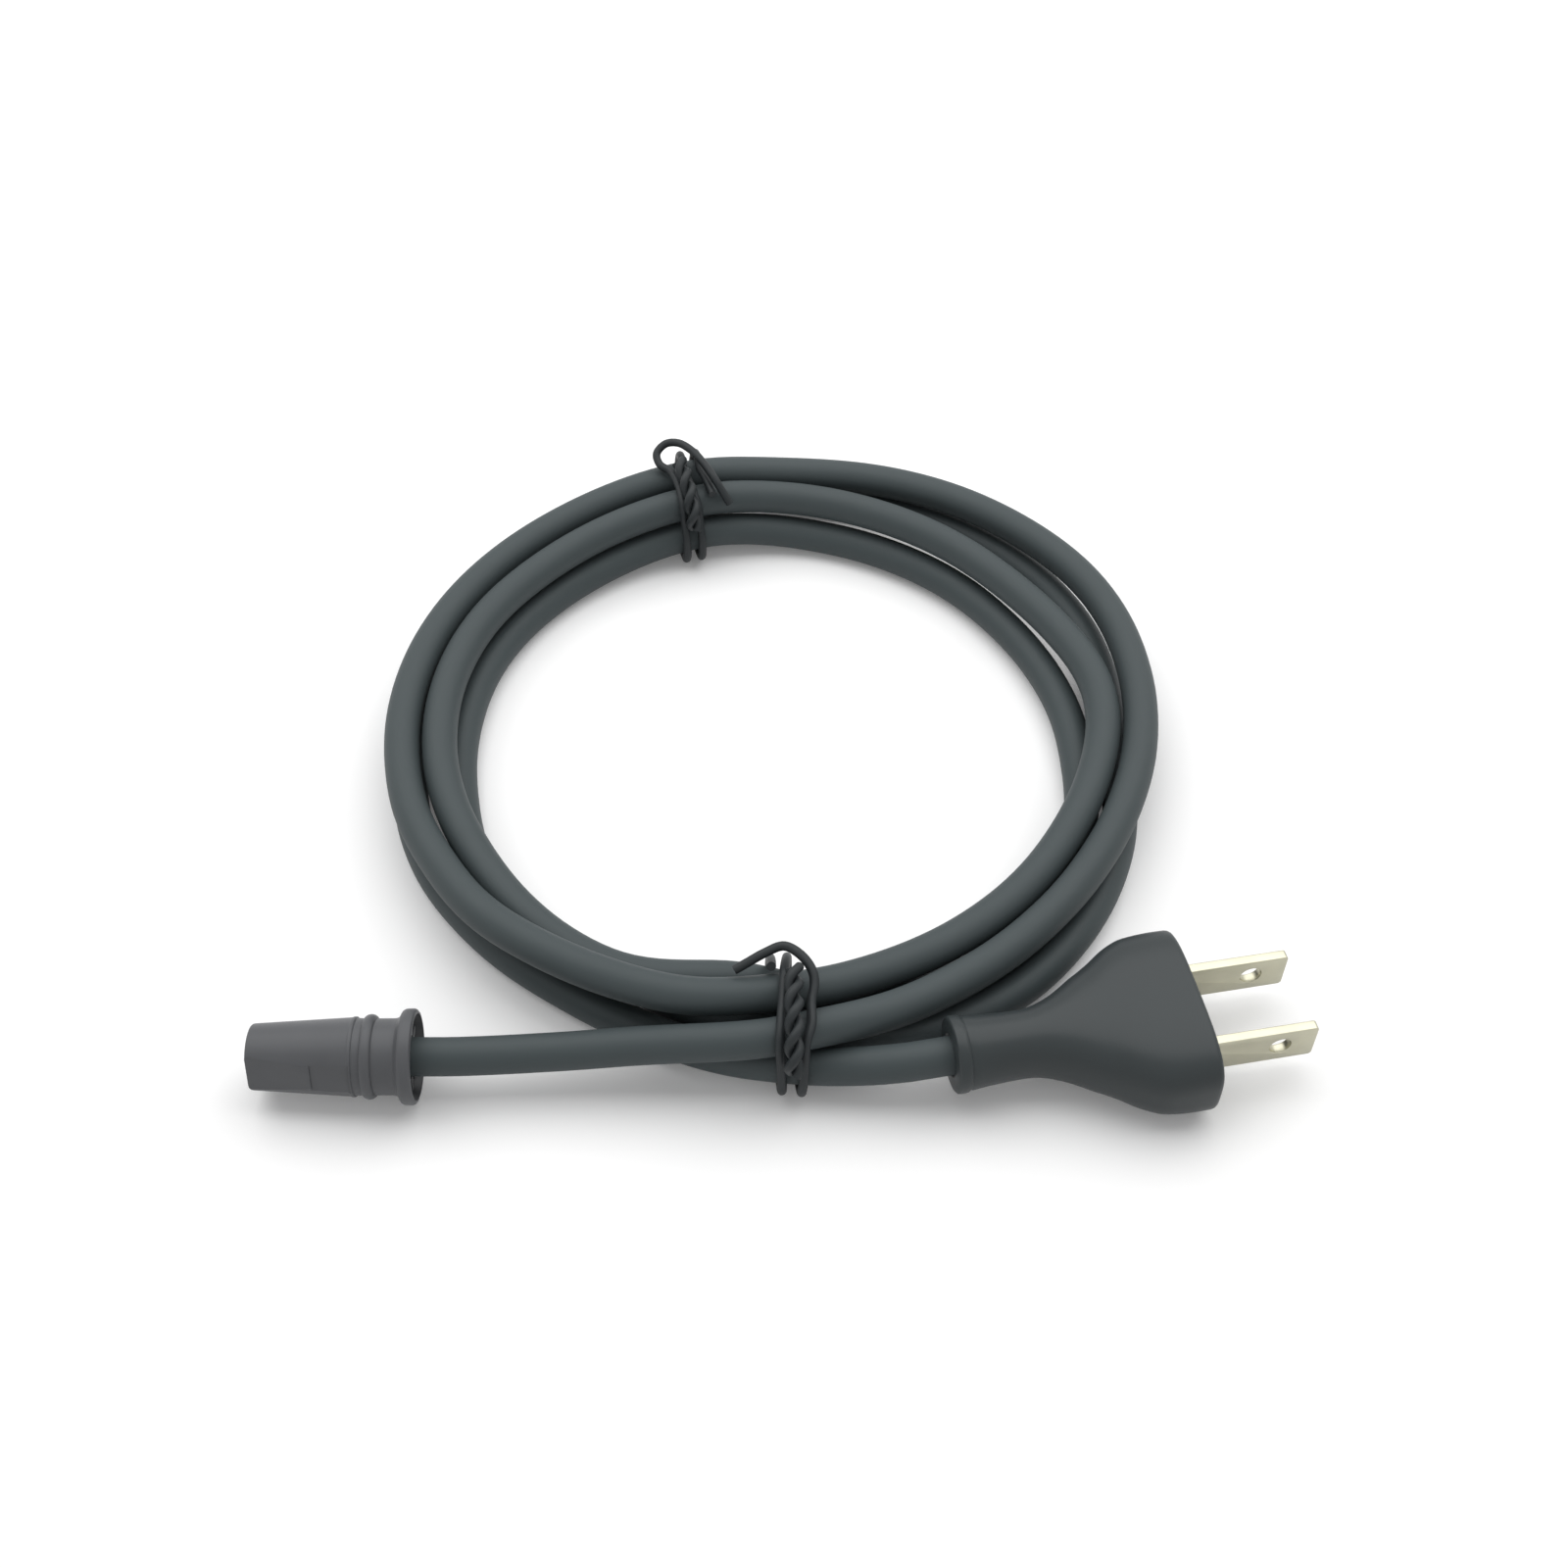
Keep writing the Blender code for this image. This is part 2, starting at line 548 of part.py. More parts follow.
def connector_profile():
    """Outer skin from the cord end to the nose: cup rim, flange, neck, bead, finger ring, tapered body."""
    flange = CONN_FLANGE_DIA / 2
    neck = CONN_NECK_DIA / 2
    bead = CONN_BEAD_DIA / 2
    body = CONN_BODY_DIA / 2
    nose = CONN_NOSE_DIA / 2
    end = CONN_LENGTH
    ring = CONN_RING_X
    profile = [(0.0, 0.0), (0.0, flange - 0.9 * MM), (0.3 * MM, flange - 0.25 * MM), (1.0 * MM, flange),
               (CONN_FLANGE_X, flange - 0.1 * MM), (CONN_FLANGE_X + 0.9 * MM, flange - 0.75 * MM),
               (CONN_FLANGE_X + 1.6 * MM, neck + 0.15 * MM), (CONN_FLANGE_X + 2.1 * MM, neck)]
    for step in range(7):
        turn = math.pi * step / 6
        profile.append((CONN_BEAD_X - math.cos(turn) * CONN_BEAD_WIDTH / 2, neck + (bead - neck) * math.sin(turn)))
    profile += [(ring, body - 0.1 * MM), (ring + 0.15 * MM, body + 0.12 * MM), (ring + 0.55 * MM, body + 0.12 * MM),
                (ring + 0.7 * MM, body), (end - 1.0 * MM, nose), (end - 0.35 * MM, nose - 0.25 * MM),
                (end, nose - 0.8 * MM), (end, 0.0)]
    return profile


def key_cutter(home, at):
    """Cuts the key flat on the nose's near side, and the shallow finger recess behind it."""
    step = CONN_LENGTH - CONN_FLAT_LENGTH
    start = CONN_RING_X + GAP
    outside = CONN_BODY_DIA
    outline = (
        (start, CONN_BODY_DIA / 2 - CONN_RECESS_DEPTH), (step, CONN_BODY_DIA / 2 - CONN_RECESS_DEPTH - 0.36 * MM),
        (step, CONN_BODY_DIA / 2 - 0.62 * MM), (CONN_LENGTH + MM, CONN_NOSE_DIA / 2 - CONN_FLAT_DEPTH),
        (CONN_LENGTH + MM, outside), (start, outside),
    )
    bm = bmesh.new()
    face = bm.faces.new([bm.verts.new((x, y, -4 * MM)) for x, y in outline])
    grown = bmesh.ops.extrude_face_region(bm, geom=[face])
    moved = [item for item in grown["geom"] if isinstance(item, bmesh.types.BMVert)]
    bmesh.ops.translate(bm, verts=moved, vec=(0, 0, 8 * MM))
    bmesh.ops.transform(bm, matrix=Matrix.Rotation(CONN_FLAT_TILT, 4, "X"), verts=bm.verts[:])
    return add_mesh("connector_key_cut", mesh_from(bm, "connector_key_cut"), None, home, at)


def make_connector(home, cutters):
    at = place("connector_place", CONN_AT, (0.0, 0.0, CONN_YAW), home)
    moulding = material("connector moulding", (0.098, 0.099, 0.105), 0.45)
    housing = turned("connector_housing", connector_profile(), 40, home, moulding, at)
    cord_end = CORD_IN_CONN
    strand_start = cord_end + CONN_CORE_LENGTH + 2 * GAP
    contact_back = strand_start + CONTACT_STRIP
    insert_back = contact_back + CONTACT_TAIL
    core_y = CORE_DIA / 2 + GAP / 2
    contact_y = CONTACT_SPACING / 2

    # cup, cord bore, core room and insert pocket in one opening that runs right through
    core_room = max(core_y + CORE_DIA / 2, contact_y + CONTACT_OUTER_DIA / 2) + GAP
    cavity = turned(
        "connector_cavity_cut",
        [(-MM, 0.0), (-MM, CONN_CUP_DIA / 2 + 0.1 * MM), (0.4 * MM, CONN_CUP_DIA / 2),
         (CONN_CUP_DEPTH * 0.7, CONN_CUP_DIA / 2 - 0.8 * MM), (CONN_CUP_DEPTH, CONN_CUP_DIA / 2 - 2.0 * MM),
         (CONN_CUP_DEPTH, CORD_DIA / 2 + GAP), (cord_end + GAP, CORD_DIA / 2 + GAP), (cord_end + GAP, core_room),
         (insert_back - GAP, core_room), (insert_back - GAP, INSERT_DIA / 2 + GAP),
         (CONN_LENGTH + MM, INSERT_DIA / 2 + GAP), (CONN_LENGTH + MM, 0.0)],
        32, cutters, parent=at,
    )
    change(housing, "DIFFERENCE", helper(cavity))
    change(housing, "DIFFERENCE", helper(key_cutter(cutters, at)))

    # ribs inside the cup
    for step in range(CONN_RIBS):
        angle = math.tau * step / CONN_RIBS
        rib = box(
            f"cup_rib_{step}", (1.0 * MM, -0.35 * MM, CORD_DIA / 2 + 2 * GAP),
            (CONN_CUP_DEPTH + 0.4 * MM, 0.35 * MM, CONN_CUP_DIA / 2 - 0.1 * MM), cutters, parent=at,
        )
        rib.data.transform(Matrix.Rotation(angle, 4, "X"))
        change(housing, "UNION", helper(rib))

    insert = cylinder(
        "connector_insert", INSERT_DIA / 2, (insert_back, 0, 0), (CONN_LENGTH, 0, 0), 32, home,
        material("insert plastic", (0.05, 0.05, 0.055), 0.55), at,
    )
    brass = material("contact brass", (0.78, 0.62, 0.30), 0.3, 1.0)
    insulation = (bpy.data.materials["core insulation brown"], bpy.data.materials["core insulation blue"])
    copper = bpy.data.materials["copper strands"]
    contact_front = CONN_LENGTH - CONTACT_SET_BACK
    for side, pole, skin in ((1, "line", insulation[0]), (-1, "neutral", insulation[1])):
        y = side * contact_y
        hole = cylinder(
            f"insert_hole_cut_{pole}", CONTACT_OUTER_DIA / 2 + GAP, (insert_back - MM, y, 0),
            (contact_front + GAP, y, 0), 16, cutters, parent=at,
        )
        change(insert, "DIFFERENCE", helper(hole))
        mouth = cylinder(
            f"insert_mouth_cut_{pole}", CONTACT_BORE_DIA / 2 + 0.2 * MM, (contact_front - MM, y, 0),
            (CONN_LENGTH + MM, y, 0), 16, cutters, parent=at,
        )
        change(insert, "DIFFERENCE", helper(mouth))
        contact = cylinder(
            f"connector_contact_{pole}", CONTACT_OUTER_DIA / 2, (contact_back, y, 0), (contact_front, y, 0), 16,
            home, brass, at,
        )
        socket = cylinder(
            f"contact_bore_cut_{pole}", CONTACT_BORE_DIA / 2, (insert_back + 2 * MM, y, 0),
            (contact_front + MM, y, 0), 12, cutters, parent=at,
        )
        crimp = cylinder(
            f"contact_crimp_cut_{pole}", STRAND_DIA / 2 + GAP, (contact_back - MM, y, 0),
            (contact_back + CONTACT_CRIMP, y, 0), 12, cutters, parent=at,
        )
        change(contact, "DIFFERENCE", helper(socket))
        change(contact, "DIFFERENCE", helper(crimp))
        core_points = bend_between((cord_end + GAP, side * core_y), (strand_start - GAP, y), steps=4)
        core = mesh_of_curve(f"connector_core_{pole}", core_points, CORE_DIA / 2)
        add_mesh(f"connector_core_{pole}", core, skin, home, at)
        cylinder(
            f"connector_strands_{pole}", STRAND_DIA / 2, (strand_start, y, 0),
            (contact_back + CONTACT_CRIMP - GAP, y, 0), 12, home, copper, at,
        )
    return at


# The twist ties


def tie_curve(points):
    line = evenly(smooth_curve([Vector(point) * MM for point in points], pieces=8), TIE_STEP)
    line[:, 2] = np.maximum(line[:, 2], TIE_DIA / 2)
    return line - np.array(MIDDLE)


def ring_point(angle, radius, height, along=0.0):
    """A point at a radius and height on the coil, shifted along the coil's turn, in millimetres."""
    turn = math.radians(angle)
    out = Vector((math.cos(turn), math.sin(turn), 0.0))
    way = Vector((-math.sin(turn), math.cos(turn), 0.0))
    return COIL_CENTRE / MM + out * radius + way * along + Vector((0.0, 0.0, height))


def make_tie(name, angle, stations, home, finish):
    points = [ring_point(angle, *spot) for spot in stations]
    mesh = mesh_of_curve(name, tie_curve(points), TIE_DIA / 2)
    return add_mesh(name, mesh, finish, home, sharp=TUBE_SHARP)


# Each tie as radius, height and shift along the coil: from its free end, twice round the bundle
FRONT_TIE = (
    (55.5, 14.6, -8.5), (54.9, 15.3, -6.7), (53.9, 16.2, -4), (53.3, 16.8, -1.3), (54.9, 16.7, 1),
    (57.2, 16, 2.5), (59.1, 15.2, 2.7), (61.6, 14.5, 2.1), (65.2, 14.2, 1.9), (67.6, 13.2, 1),
    (69.1, 9.4, 0.7), (69.8, 5.3, 0.4), (69.4, 3.5, 0.3), (68.3, 2, 0.3), (66.8, 1.2, 0.2),
    (65.2, 1, 0.2), (59.3, 1, 0), (53.2, 1.2, -0.2), (50.2, 2.4, -0.4), (49.1, 5.4, -0.5),
    (50, 9.4, -0.6), (52.8, 12.9, -0.9), (56.2, 14.5, -1.4), (60.9, 14.4, -1.9), (65, 14.3, -2.4),
    (67.4, 13.2, -2.7), (68.7, 9.4, -2.6), (69.1, 5, -2.5), (68.8, 3.3, -2.5), (67.7, 1.8, -2.5),
    (66.2, 0.95, -2.5), (64.6, 0.8, -2.6), (59, 0.9, -2.8), (53, 1.4, -3), (49.6, 3, -3.1),
    (48.7, 6.2, -3.1), (50.2, 9.8, -3.1), (52.6, 12.6, -3.1), (55.4, 14.9, -3.2),
)
REAR_TIE = (
    (46.8, 12.2, -4), (47.9, 13.9, -3.1), (49.5, 15.7, -2.1), (52.8, 17, -0.8), (56.1, 17.5, 0.6),
    (58.7, 17.5, 2.5), (59.8, 16.8, 4.6), (58.8, 15.8, 6.4), (56.9, 14.9, 6.3), (54.9, 14.6, 4.8),
    (52.1, 14.4, 4.2), (47.8, 13.5, 4.2), (46.5, 11.9, 4.3), (46, 9.6, 4.3), (44.9, 7.4, 4.3),
    (44.6, 4.8, 4.3), (44.9, 3.2, 4.3), (45.9, 1.8, 4.3), (47.3, 1, 4.2), (48.9, 0.85, 4.2),
    (57, 0.9, 3.4), (58.5, 1.2, 3.1), (59.9, 2.2, 2.9), (60.9, 4.8, 2.6), (61, 10.8, 2.2),
    (59.8, 13.8, 2.1), (57.3, 14.8, 2.2), (54.6, 14.6, 2.4), (49.9, 14.4, 2), (48.5, 14, 1.9),
    (47, 12.6, 1.6), (46.2, 9.6, 1.6), (44.9, 7.4, 1.6), (44.6, 4.8, 1.6), (44.9, 3.2, 1.6),
    (45.9, 1.8, 1.6), (47.3, 1, 1.5), (48.9, 0.85, 1.5), (57, 0.9, 0.9), (58.5, 1.2, 0.7),
    (59.9, 2.2, 0.5), (60.9, 4.8, 0.2), (61, 10.8, -0.4), (59.8, 13.8, -0.6), (57.3, 14.8, -0.6),
    (54.7, 14.6, -0.4), (51.5, 14.5, -0.8), (48.1, 13.9, -1.2),
)


def main():
    clear_scene()
    home = collection("power_cord")
    cutters = collection("cutters")
    cutters.hide_render = True
    make_cord(home)
    make_plug(home, cutters)
    make_connector(home, cutters)
    tie = material("twist tie", (0.045, 0.048, 0.048), 0.5)
    make_tie("tie_front", FRONT_TIE_ANGLE, FRONT_TIE, home, tie)
    make_tie("tie_rear", REAR_TIE_ANGLE, REAR_TIE, home, tie)


main()
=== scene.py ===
"""Power cord, coiled and tied, on a white table. Metres, +Z up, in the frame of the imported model.

The plug lies at +X, the small round connector at -X and the coil behind them. Places are typed as in the
part's source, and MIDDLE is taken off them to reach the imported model's frame.
"""

import math

import bmesh
import bpy
import numpy as np
from mathutils import Euler, Matrix, Vector


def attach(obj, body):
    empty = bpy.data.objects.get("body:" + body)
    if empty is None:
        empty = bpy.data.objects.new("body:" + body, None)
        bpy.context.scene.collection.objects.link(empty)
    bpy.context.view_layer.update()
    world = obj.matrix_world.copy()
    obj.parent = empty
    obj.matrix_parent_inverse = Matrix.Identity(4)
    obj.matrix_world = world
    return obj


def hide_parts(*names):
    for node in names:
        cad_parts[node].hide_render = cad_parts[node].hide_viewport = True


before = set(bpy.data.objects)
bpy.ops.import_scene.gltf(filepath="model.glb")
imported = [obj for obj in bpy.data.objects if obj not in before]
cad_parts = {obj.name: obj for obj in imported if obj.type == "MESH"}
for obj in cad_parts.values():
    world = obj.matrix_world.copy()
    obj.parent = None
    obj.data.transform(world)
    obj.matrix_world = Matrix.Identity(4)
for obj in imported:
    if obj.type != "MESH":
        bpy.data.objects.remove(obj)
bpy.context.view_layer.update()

MM = 0.001
MIDDLE = Vector((0.17, 1.56, 0.0)) * MM

CORD_DIA = 5.6 * MM
STRAND_GAP = 0.4 * MM
CORD_SIDES = 28
FINE_STEP = 2.0 * MM
HELD_POINTS = 4
EASING_ROUNDS = 60
EASING_PUSH = 0.6
EASING_STIFFNESS = 0.05
PUSH_SMOOTHINGS = 3
OWN_STRETCH = 3 * CORD_DIA
LOWEST = CORD_DIA / 2 + 0.1 * MM
COIL_CENTRE = Vector((-2.0, 8.0, 0.0)) * MM

PLUG_AT = Vector((58.5, -51.05, 7.2)) * MM
PLUG_YAW = math.radians(11.3)
PLUG_PITCH = math.radians(1.2)
PLUG_FACE_X = 0.4 * MM
PLUG_LENGTH = 36.0 * MM
PLUG_WIDTH = 27.6 * MM
PLUG_THICKNESS = 14.2 * MM
PLUG_NECK_DIA = 9.8 * MM
PLUG_COLLAR_DIA = 11.2 * MM
PLUG_COLLAR_LENGTH = 2.1 * MM
PLUG_HEAD_LENGTH = 26.44 * MM
PLUG_SIDES = 96
PLUG_CREASE = 32
ROUND_SECTION = 2.0
HEAD_SECTION = 3.3
ROWS_BETWEEN = 3
CORD_IN_PLUG = 12.0 * MM
BLADE_WIDTH = 6.35 * MM
BLADE_THICKNESS = 1.5 * MM
BLADE_TIP_X = 16.6 * MM
BLADE_SPACING = 12.7 * MM
BLADE_HOLE_DIA = 3.2 * MM
BLADE_HOLE_X = 11.3 * MM
BLADE_TIP_CHAMFER = 0.35 * MM
BLADE_EASE = 0.16 * MM
BLADE_CREASE = 40
BRIDGE_LENGTH = 8.0 * MM
BRIDGE_WIDTH = 17.0 * MM
BRIDGE_THICKNESS = 9.15 * MM
BRIDGE_INSET = 0.5 * MM
BRIDGE_CLEARANCE = 0.12 * MM

CONN_AT = Vector((-52.2, -57.6, 7.0)) * MM
CONN_YAW = math.pi
CONN_LENGTH = 23.6 * MM
CONN_FLANGE_DIA = 13.7 * MM
CONN_FLANGE_X = 2.0 * MM
CONN_NECK_DIA = 10.9 * MM
CONN_BEAD_DIA = 12.1 * MM
CONN_BEAD_X = 6.6 * MM
CONN_BEAD_WIDTH = 1.7 * MM
CONN_RING_X = 8.5 * MM
CONN_BODY_DIA = 11.2 * MM
CONN_NOSE_DIA = 9.5 * MM
CONN_CUP_DEPTH = 2.6 * MM
CONN_MOUTH_DIA = 12.2 * MM
CONN_FLAT_LENGTH = 9.2 * MM
CONN_FLAT_DEPTH = 1.2 * MM
CONN_FLAT_TILT = math.radians(18)
CONN_FLAT_HALF_WIDTH = 4.0 * MM
CONN_RECESS_DEPTH = 0.45 * MM
CONN_SIDES = 112
CONN_CREASE = 24
CORD_IN_CONN = 4.6 * MM
INSERT_DIA = 7.0 * MM
INSERT_CLEARANCE = 0.12 * MM
RIB_COUNT = 12
RIB_THICKNESS = 0.8 * MM
HOLE_SIDES = 48
POCKET_SIDES = 64
TUBE_CREASE = 60
PVC_GLOSS = 0.28
PVC_GRAIN = 0.35
METAL_GRAIN = 0.3

TIE_DIA = 1.4 * MM
TIE_SIDES = 16
TIE_STEP = 0.35 * MM
TWIST_PITCH = 6.5 * MM
TWIST_STARTS = (20, 200)
FRONT_TIE_ANGLE = -86.5
REAR_TIE_ANGLE = 104.0

STUDIO_LEVEL = 0.44
SOFTBOX_AT = (0.0, 0.24, 0.62)
SOFTBOX_SIZE = (1.5, 0.8)
SOFTBOX_POWER = 6.6
TABLE_HALF_SIZE = 3.0
TABLE_TONE = 0.92
TABLE_DROP = 0.02 * MM
CAMERA_AT = Vector((0.0, -230.1, 263.9)) * MM
CAMERA_TILT = math.radians(41.09)
CAMERA_LENS = 49.5

# The cord's way in millimetres. The leads are points, from the connector and to the plug.
# The turns are an angle in degrees from +X, a radius and a height, round the coil's centre.
LEAD_IN = (
    (-48.0, -57.6, 7.0), (-41.8, -57.4, 7.0), (-34.5, -57.1, 7.3), (-28.0, -57.0, 7.8),
    (-22.4, -56.9, 8.6), (-14.5, -57.2, 9.7), (-7.8, -57.3, 10.3), (-1.4, -57.0, 10.8),
)
LEAD_OUT = (
    (0.5, -57.4, 4.9), (5.5, -57.85, 5.1), (10.5, -58.75, 6.2), (15.0, -59.25, 7.4), (19.3, -58.88, 7.98),
)
TURNS = (
    ((-82, 62.9, 9.8), (-74, 61.9, 9.2), (-67, 60.8, 8.9), (-55, 59.6, 8.8), (-41, 58.6, 8.8),
     (-25, 58.5, 8.8), (-14, 58.6, 8.8), (-4, 59.3, 8.8), (6, 60.2, 8.8), (20, 61.2, 8.9), (32, 61.5, 9.0),
     (46, 61.0, 8.9), (60, 60.4, 8.8), (75, 59.2, 8.8), (90, 57.6, 9.4), (104, 57.1, 10.8),
     (120, 58.0, 9.4), (140, 58.5, 8.8), (160, 59.0, 8.8), (180, 59.4, 8.9), (200, 59.9, 9.2),
     (213, 59.9, 10.0), (224, 60.6, 11.0), (235, 60.6, 12.3), (247, 60.5, 12.7), (259, 59.8, 12.0)),
    ((272, 57.1, 10.8), (282, 55.2, 9.3), (300, 53.6, 8.8), (320, 52.7, 8.7), (344, 53.0, 8.8),
     (356, 53.7, 8.8), (368, 53.4, 8.9), (382, 51.4, 8.7), (395, 50.2, 8.6), (410, 50.2, 8.6),
     (425, 50.6, 8.7), (440, 51.4, 8.8), (452, 51.5, 9.4), (464, 50.7, 10.6), (482, 51.4, 9.4),
     (500, 51.9, 8.8), (517, 52.8, 8.8), (534, 53.3, 8.8), (550, 53.6, 8.9), (562, 53.8, 9.0),
     (573, 54.1, 9.0), (584, 55.0, 8.9), (595, 55.9, 8.6), (607, 56.3, 8.4), (618, 55.0, 8.5)),
    ((631, 52.8, 5.6), (641, 54.5, 3.6), (652, 56.2, 2.9), (663, 56.7, 2.9), (676, 55.3, 2.9),
     (690, 53.4, 2.9), (702, 52.0, 2.9), (713, 50.0, 2.9), (724, 49.0, 2.9), (736, 48.0, 2.9),
     (750, 47.3, 2.9), (768, 47.5, 2.9), (785, 48.0, 2.9), (800, 48.8, 2.9), (812, 49.0, 4.0),
     (824, 48.8, 5.2), (840, 49.4, 3.8), (860, 50.0, 2.9), (880, 50.5, 2.9), (900, 50.7, 2.9),
     (917, 51.6, 2.9), (930, 53.2, 2.9), (945, 53.7, 2.9), (957, 53.5, 2.9), (968, 53.8, 3.0),
     (979, 55.9, 3.8)),
    ((992, 59.0, 5.3), (1002, 61.2, 3.9), (1014, 62.8, 2.9), (1027, 62.9, 2.9), (1042, 61.2, 2.9),
     (1056, 59.2, 2.9), (1068, 57.0, 2.9), (1080, 55.9, 2.9), (1090, 56.4, 2.9), (1100, 57.7, 2.9),
     (1110, 58.7, 2.9), (1121, 59.2, 2.9), (1132, 59.3, 2.9), (1145, 59.1, 2.9), (1160, 58.8, 2.9),
     (1172, 57.8, 4.0), (1184, 57.0, 5.3), (1200, 57.6, 3.8), (1220, 58.0, 2.9), (1240, 58.2, 2.9),
     (1260, 58.4, 2.9), (1276, 59.4, 2.9), (1290, 59.8, 2.9), (1305, 59.4, 2.9), (1322, 59.7, 2.9),
     (1334, 61.4, 3.0), (1345, 64.2, 4.3)),
)


# Lines and tubes


def station(angle, radius, height):
    """A point of the coil, in metres."""
    turn = math.radians(angle)
    return COIL_CENTRE + Vector((radius * math.cos(turn), radius * math.sin(turn), height)) * MM


def smooth_curve(points, pieces=10):
    """Points along a centripetal Catmull-Rom curve through the given ones."""
    ends = [2 * points[0] - points[1], *points, 2 * points[-1] - points[-2]]
    found = []
    for p0, p1, p2, p3 in zip(ends, ends[1:], ends[2:], ends[3:]):
        t1 = math.sqrt((p1 - p0).length)
        t2 = t1 + math.sqrt((p2 - p1).length)
        t3 = t2 + math.sqrt((p3 - p2).length)
        for step in range(pieces):
            t = t1 + (t2 - t1) * step / pieces
            a1 = p0.lerp(p1, t / t1)
            a2 = p1.lerp(p2, (t - t1) / (t2 - t1))
            a3 = p2.lerp(p3, (t - t2) / (t3 - t2))
            b1 = a1.lerp(a2, t / t2)
            b2 = a2.lerp(a3, (t - t1) / (t3 - t1))
            found.append(b1.lerp(b2, (t - t1) / (t2 - t1)))
    found.append(points[-1])
    return np.array(found)


def lengths_along(points):
    """How far along a line each of its points lies."""
    return np.r_[0.0, np.cumsum(np.linalg.norm(np.diff(points, axis=0), axis=1))]


def evenly(points, step):
    """Points at even steps along a line."""
    along = lengths_along(points)
    spots = np.linspace(0.0, along[-1], int(round(along[-1] / step)) + 1)
    return np.stack([np.interp(spots, along, points[:, axis]) for axis in range(3)], axis=1)


def ease_apart(points, apart, held):
    """Pushes strands that lie closer than apart away from each other, over the floor. The ends are held."""
    points = points.copy()
    step = np.linalg.norm(points[1] - points[0])
    place_on_cord = np.arange(len(points)) * step
    other = np.abs(place_on_cord[:, None] - place_on_cord[None]) > OWN_STRETCH
    for _ in range(EASING_ROUNDS):
        between = points[:, None] - points[None]
        distance = np.linalg.norm(between, axis=2) + 1e-9
        short = np.where(other & (distance < apart), apart - distance, 0.0)
        push = (between / distance[..., None] * short[..., None]).sum(axis=1)
        push *= EASING_PUSH / np.maximum((short > 0).sum(axis=1), 1)[:, None]
        push[:held] = 0.0
        push[-held:] = 0.0
        for _ in range(PUSH_SMOOTHINGS):
            push[1:-1] = (push[:-2] + 2 * push[1:-1] + push[2:]) / 4
        points += push
        bend = (points[:-2] + points[2:]) / 2 - points[1:-1]
        points[held:-held] += EASING_STIFFNESS * bend[held - 1:1 - held]
        points[:, 2] = np.maximum(points[:, 2], LOWEST)
    return points


def plug_place():
    return Matrix.Translation(PLUG_AT - MIDDLE) @ Euler((0.0, PLUG_PITCH, PLUG_YAW)).to_matrix().to_4x4()


def connector_place():
    return Matrix.Translation(CONN_AT - MIDDLE) @ Matrix.Rotation(CONN_YAW, 4, "Z")


def cord_route():
    """The cord's centre line between the two mouths, with its straight ends inside the mouldings."""
    collar = PLUG_FACE_X - PLUG_LENGTH
    mouth = plug_place() @ Vector((collar, 0.0, 0.0)) + MIDDLE
    end = plug_place() @ Vector((collar + CORD_IN_PLUG, 0.0, 0.0)) + MIDDLE
    points = [CONN_AT]
    points += [Vector(point) * MM for point in LEAD_IN]
    points += [station(*spot) for turn in TURNS for spot in turn]
    points += [Vector(point) * MM for point in LEAD_OUT]
    points.append(mouth)
    fine = evenly(smooth_curve(points), FINE_STEP)
    free = ease_apart(fine, CORD_DIA + STRAND_GAP, HELD_POINTS)
    start = CONN_AT - Vector((CORD_IN_CONN, 0.0, 0.0))
    return np.vstack([start, free, end]) - np.array(MIDDLE)


def crossways(points):
    """At each point of a line, two directions that are square to it and don't spin round it."""
    ways = np.gradient(points, axis=0)
    ways /= np.linalg.norm(ways, axis=1)[:, None]
    out = np.cross(ways[0], (0.0, 0.0, 1.0))
    pairs = []
    for way in ways:
        out = out - way * (out @ way)
        out /= np.linalg.norm(out)
        pairs.append((out, np.cross(way, out)))
    return pairs


def wound(line, radius, pitch, start):
    """A line wound as a helix round another one. start is its first angle in degrees."""
    turns = math.radians(start) + math.tau * lengths_along(line) / pitch
    return np.array([
        point + radius * (out * math.cos(turn) + up * math.sin(turn))
        for point, (out, up), turn in zip(line, crossways(line), turns)
    ])


def tube_mesh(name, points, radius, sides):
    """A round tube with flat ends along the points, its UV in metres round and along."""
    along = lengths_along(points)
    bm = bmesh.new()
    uv = bm.loops.layers.uv.new("UVMap")
    rings = []
    for point, (out, up) in zip(points, crossways(points)):
        ring = []
        for side in range(sides):
            turn = math.tau * side / sides
            ring.append(bm.verts.new(point + radius * (out * math.cos(turn) + up * math.sin(turn))))
        rings.append(ring)
    girth = math.tau * radius
    for spot, (first, second) in enumerate(zip(rings, rings[1:])):
        for side in range(sides):
            after = (side + 1) % sides
            face = bm.faces.new((first[side], first[after], second[after], second[side]))
            low, high = girth * side / sides, girth * (side + 1) / sides
            here, there = along[spot], along[spot + 1]
            for loop, place in zip(face.loops, ((low, here), (high, here), (high, there), (low, there))):
                loop[uv].uv = place
            face.smooth = True
    bm.faces.new(rings[0])
    bm.faces.new(rings[-1])
    bmesh.ops.recalc_face_normals(bm, faces=bm.faces)
    mesh = bpy.data.meshes.new(name)
    bm.to_mesh(mesh)
    bm.free()
    return mesh


# Making and placing pieces


def collection(name):
    made = bpy.data.collections.new(name)
    bpy.context.scene.collection.children.link(made)
    return made


PIECES = collection("power cord pieces")


def smoothed(mesh, crease):
    """Shades a mesh smooth, except over edges that turn by more than the crease in degrees."""
    mesh.shade_smooth()
    mesh.set_sharp_from_angle(angle=math.radians(crease))


